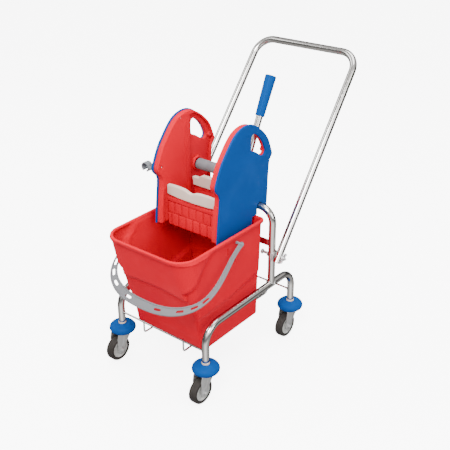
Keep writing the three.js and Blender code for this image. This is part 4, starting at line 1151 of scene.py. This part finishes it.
def make_basket():
    span = PANEL_IN - GAP
    grille = Shape()
    low = TRAY_Z - TRAY_T
    grille.add(block(-span, span, GRILLE_Y + 3, GRILLE_Y + GRILLE_T, low, GRILLE_TOP, 1.0))
    grille.add(block(-span, span, GRILLE_Y - 1.5, GRILLE_Y + 6, 508, GRILLE_TOP, 2.2))
    pitch = 2 * span / BRICK_COLUMNS
    for z0, z1, shift in ((470, 505, 0), (low + 1, BRICK_SPLIT, -pitch / 2)):
        for c in range(BRICK_COLUMNS + 1):
            a = max(-span + c * pitch + shift + BRICK_GROOVE / 2, -span + 1)
            b = min(-span + (c + 1) * pitch + shift - BRICK_GROOVE / 2, span - 1)
            if b - a > 4:
                grille.add(block(a, b, GRILLE_Y, GRILLE_Y + 5, z0, z1, 1.5))
    for x in LIP_POSTS:
        grille.add(block(x - 3, x + 3, GRILLE_Y, GRILLE_Y + 6, GRILLE_TOP - 3, GRILLE_TOP + 14, 1.2))
    grille.piece("grille_moulding", "wringer", "red_plastic", "front_grille")

    tray = Shape()
    front, rear = GRILLE_Y + GRILLE_T + GAP, SIDE_BOTTOM_REAR
    hole_loops = []
    for c in range(4):
        for r in range(3):
            cx, cy = -66 + c * 44, -36 + r * 32
            hole_loops.append(
                [(cx + 9 * np.sign(math.cos(b)) + 5 * math.cos(b), cy + 5 * math.sin(b))
                 for b in (2 * math.pi * (k + 0.5) / 16 for k in range(16))]
            )
    rect = [(-span, front), (span, front), (span, rear), (-span, rear)]
    tray.add(plate(rect, low, TRAY_Z, 0.8, hole_loops))
    tray.piece("tray_moulding", "wringer", "red_plastic", "wringer_tray")

    def lip_top(x):
        crown = LIP_CROWN * (1 - abs(x / span) ** 4)
        return LIP_TOP + crown - LIP_DIP * math.exp(-(((x - 2) / 17) ** 2))

    lip = Shape().add(
        bar(stations(span, 90, 4), lambda x: GRILLE_TOP + 9, lip_top,
            lambda x: GRILLE_Y - 2 - 9 * (1 - (x / span) ** 2), 13, 4.5)
    )
    lip.piece("front_lip_moulding", "wringer", "ivory_plastic", "front_lip")

    limit = span - 1
    press = Shape().add(block(-limit, limit, PRESS_Y, PRESS_Y + 5, TRAY_Z + 0.6, PRESS_TOP, 1.2))
    press.add(block(-limit, limit, PRESS_Y, PRESS_Y + 9, PRESS_TOP - 12, PRESS_TOP, 1.6))
    press.add(block(-limit, limit, PRESS_Y, PRESS_Y + 9, TRAY_Z + 0.6, TRAY_Z + 10, 1.6))
    for x in np.linspace(-limit + 5, limit - 5, 8):
        press.add(block(x - 1.5, x + 1.5, PRESS_Y + 3, PRESS_Y + 15, TRAY_Z + 6, PRESS_TOP - 4, 0.9))
    for z in (458, 484, 510):
        press.add(block(-limit + 4, limit - 4, PRESS_Y - 2, PRESS_Y + 3, z - 2.5, z + 2.5, 1.8))
    press.piece("press_plate_moulding", "press", "red_plastic", "press_plate")

    def press_top(x):
        return mix(PRESS_LIP_END, PRESS_LIP_TOP, float(ramp(-abs(x), -78, -58)))

    top = Shape().add(
        bar(stations(limit, 90, 4), lambda x: PRESS_TOP + 0.6, press_top, lambda x: PRESS_Y - 9,
            16, 4.5)
    )
    top.add(
        bar(stations(limit - 3, 60, 3), lambda x: PRESS_TOP - 14, lambda x: PRESS_TOP + 8,
            lambda x: PRESS_Y - 9, 8, 3)
    )
    top.piece("press_lip_moulding", "press", "ivory_plastic", "press_lip")


def make_lever():
    at, turn = (0, SHAFT_Y, SHAFT_Z), about_x(-math.radians(LEVER_LEAN))
    span = PANEL_IN - GAP - 1
    half = [(9, 112), (9, span + 0.6), (16, span + 0.4), (SHAFT_R - 0.8, span), (SHAFT_R, span - 1),
            (SHAFT_R, 60), (SHAFT_R - 0.5, 59), (SHAFT_R - 0.5, 57), (SHAFT_R, 56)]
    profile = [(0, 112.5), *half, *facing(reversed(half), -1), (0, -112.5)]
    shaft = Shape().add(lathe(profile, 64, "x", False), turn, at)
    socket = [(LEVER_R + 0.3, 14), (LEVER_R + 4.5, 14), (LEVER_R + 4.2, 26), (LEVER_R + 2.6, 31),
              (LEVER_R + 0.3, 31)]
    foot = (LEVER_X, SHAFT_Y, SHAFT_Z)
    shaft.add(lathe(rounded(socket, 1.2, 4), 48), turn, foot)
    shaft.piece("shaft_moulding", "lever", "grey_plastic", "wringer_shaft")

    Shape().add(tube([(0, 0, 16), (0, 0, GRIP_END - 20)], [], LEVER_R, LEVER_R - 1.5), turn, foot).piece(
        "lever_rod", "lever", "chrome", "lever_tube")

    heights = np.linspace(GRIP_START + 4, GRIP_END - 5, 60)
    outer = [(mix(14.2, 17.2, ((h - GRIP_START) / (GRIP_END - GRIP_START)) ** 0.9), h) for h in heights]
    low = [(LEVER_R + 0.4, GRIP_START), (13.2, GRIP_START), (14.3, GRIP_START + 1.2),
           (14.3, GRIP_START + 3)]
    top = [(13.2 + 4 * math.cos(a), GRIP_END - 4.4 + 4 * math.sin(a))
           for a in np.radians((10, 30, 50, 70, 88))]
    cap = [(7, GRIP_END - 0.1), (0, GRIP_END)]
    grip = Shape().add(
        lathe([*low, *outer, *top, *cap, (0, GRIP_END - 19.6), (LEVER_R + 0.4, GRIP_END - 19.6),
               (LEVER_R + 0.4, GRIP_START)], 64, "z", False), turn, foot)
    grip.piece("grip_sleeve", "lever", "blue_plastic", "lever_grip")


JAWS, CLIP_T = (-52, 228), 4.2  # degrees round the mop handle where the claw starts and ends


def make_clip():
    at = (0, CLIP_Y, CLIP_Z)
    cx = -COVER_OUT - 9 - CLIP_R
    start, end = JAWS
    claw = arc(CLIP_R, start, end, 33, (cx, 0)) + arc(CLIP_R - CLIP_T, end, start, 33, (cx, 0))
    clip = Shape()
    clip.add(along_y(plate(claw, -10, 10, 1.3, steps=3)), at=at)
    for x, z in arc(CLIP_R - CLIP_T / 2, start, end, 2, (cx, CLIP_Z)):  # beaded jaws
        clip.add(lathe([(0, -10), (2.4, -10), (3, -9.2), (3, 9.2), (2.4, 10), (0, 10)], 24, "y",
                       False), at=(x, CLIP_Y, z))
    clip.add(block(cx + CLIP_R - 3.4, -COVER_OUT - 1, -9, 9, -4.5, 4.5, 1.6), at=at)
    clip.add(block(-COVER_OUT - 4.3, -COVER_OUT - GAP, -2, 26, -14, 14, 1.4), at=at)
    for s in (-1, 1):
        arm = [(cx + CLIP_R - 2.6, s * 3.5), (-COVER_OUT - 2, s * 3.5), (-COVER_OUT - 2, s * 12)]
        clip.add(along_y(plate(arm if s > 0 else arm[::-1], -2, 2, 0.8)), at=at)
    clip.piece("clip_moulding", "wringer", "grey_plastic", "mop_clip")


# ------------------------------------------------------------------ floor and light
FLOOR_R, FLOOR_GLOW = 14.0, 6.0
LAMPS = (  # name, place, height that it aims at above the origin, size and power
    ("key", (1.2, -2.8, 3.6), 0.3, 1.5, 255),
    ("fill", (-3.0, -1.6, 2.6), 0.3, 2.0, 60),
    ("right", (3.2, -0.7, 1.9), 0.4, 1.8, 60),
    ("top", (0.4, 0.4, 4.0), 0.2, 2.4, 110),
)
ROOM_UP = ((-1, 1.0), (-0.6, 0.9), (-0.3, 0.6), (-0.1, 0.14), (0.1, 0.1), (0.3, 0.3), (0.48, 1.1),
           (0.75, 1.0), (1, 0.7))
ROOM_ACROSS = ((-1, 0.04), (-0.75, 0.08), (-0.45, 0.3), (-0.15, 0.42), (0.25, 0.3), (0.6, 0.55),
               (0.84, 1.3), (1, 1.3))
SKY_UP = ((-1, 0.68), (-0.2, 0.5), (0.15, 0.62), (1, 1.0))
WARM, WHITE = (1, 0.985, 0.97), (1, 1, 1)
ROOM_GAIN, SKY_GAIN = 2.0, 1.62


def make_floor():
    bm = bmesh.new()
    bmesh.ops.create_circle(bm, cap_ends=True, segments=96, radius=FLOOR_R)
    mesh = bpy.data.meshes.new("floor")
    bm.to_mesh(mesh)
    bm.free()
    floor = placed("floor", mesh)
    pale = Nodes("pale_floor")
    pale.colours(pale.noise(0.6, 2), ((0.3, (0.86, 0.86, 0.86)), (0.7, (0.9, 0.9, 0.9))))
    mesh.materials.append(
        pale.set(Roughness=0.8, Specular_IOR_Level=0.1, Emission_Color=(1, 1, 1, 1),
                 Emission_Strength=FLOOR_GLOW)
    )
    floor.visible_glossy = floor.visible_diffuse = False  # the world below gives the bounce


def make_world():
    world = bpy.data.worlds.new("soft_light")
    bpy.context.scene.world = world
    world.use_nodes = True
    tree = world.node_tree
    plain = tree.nodes["Background"]
    plain.inputs["Color"].default_value = (1, 1, 1, 1)
    plain.inputs["Strength"].default_value = FLOOR_GLOW + 1

    place = node(tree, "TexCoord").outputs["Generated"]

    def along(way, stops, tint):
        """Brightness by how far a direction leans towards `way`, from -1 to 1."""
        dot = node(tree, "VectorMath")
        dot.operation = "DOT_PRODUCT"
        tree.links.new(place, dot.inputs[0])
        dot.inputs[1].default_value = Vector(way).normalized()
        span = node(tree, "MapRange", From_Min=-1)
        tree.links.new(dot.outputs["Value"], span.inputs["Value"])
        shade = colour_ramp(tree, [(at / 2 + 0.5, [v * c for c in tint]) for at, v in stops])
        tree.links.new(span.outputs["Result"], shade.inputs["Fac"])
        return shade.outputs["Color"]

    def sky(colour, strength):
        back = node(tree, "Background", Strength=strength)
        tree.links.new(colour, back.inputs["Color"])
        return back.outputs["Background"]

    def choose(ray, other, picked):
        both = node(tree, "MixShader")
        tree.links.new(path.outputs[ray], both.inputs["Fac"])
        tree.links.new(other, both.inputs[1])
        tree.links.new(picked, both.inputs[2])
        return both.outputs["Shader"]

    # what polished metal mirrors: a dim room with a pale floor, dark walls and a bright ceiling
    tall = along((0, 0, 1), ROOM_UP, WARM)
    across = along((0.62, -0.78, 0), ROOM_ACROSS, WHITE)
    product = node(tree, "Mix")
    product.data_type = "RGBA"
    product.blend_type = "MULTIPLY"
    product.inputs["Factor"].default_value = 1
    tree.links.new(tall, product.inputs["A"])
    tree.links.new(across, product.inputs["B"])
    room = sky(product.outputs[2], ROOM_GAIN)
    soft = sky(along((0, 0, 1), SKY_UP, WHITE), SKY_GAIN)
    path = node(tree, "LightPath")
    lit = choose("Is Diffuse Ray", plain.outputs["Background"], soft)
    tree.links.new(choose("Is Glossy Ray", lit, room), tree.nodes["World Output"].inputs["Surface"])


def make_lamps():
    for name, at, aim_z, size, power in LAMPS:
        data = bpy.data.lights.new(name, "AREA")
        data.shape = "RECTANGLE"
        data.size = data.size_y = size
        data.energy = power
        lamp = placed(name, data)
        lamp.location = at
        way = Vector((0, 0, aim_z)) - Vector(at)
        lamp.rotation_euler = way.to_track_quat("-Z", "Y").to_euler()


make_casters()
make_frame()
make_handle()
make_bucket()
make_bail()
make_wringer()
make_basket()
make_lever()
make_clip()
make_floor()
make_world()
make_lamps()
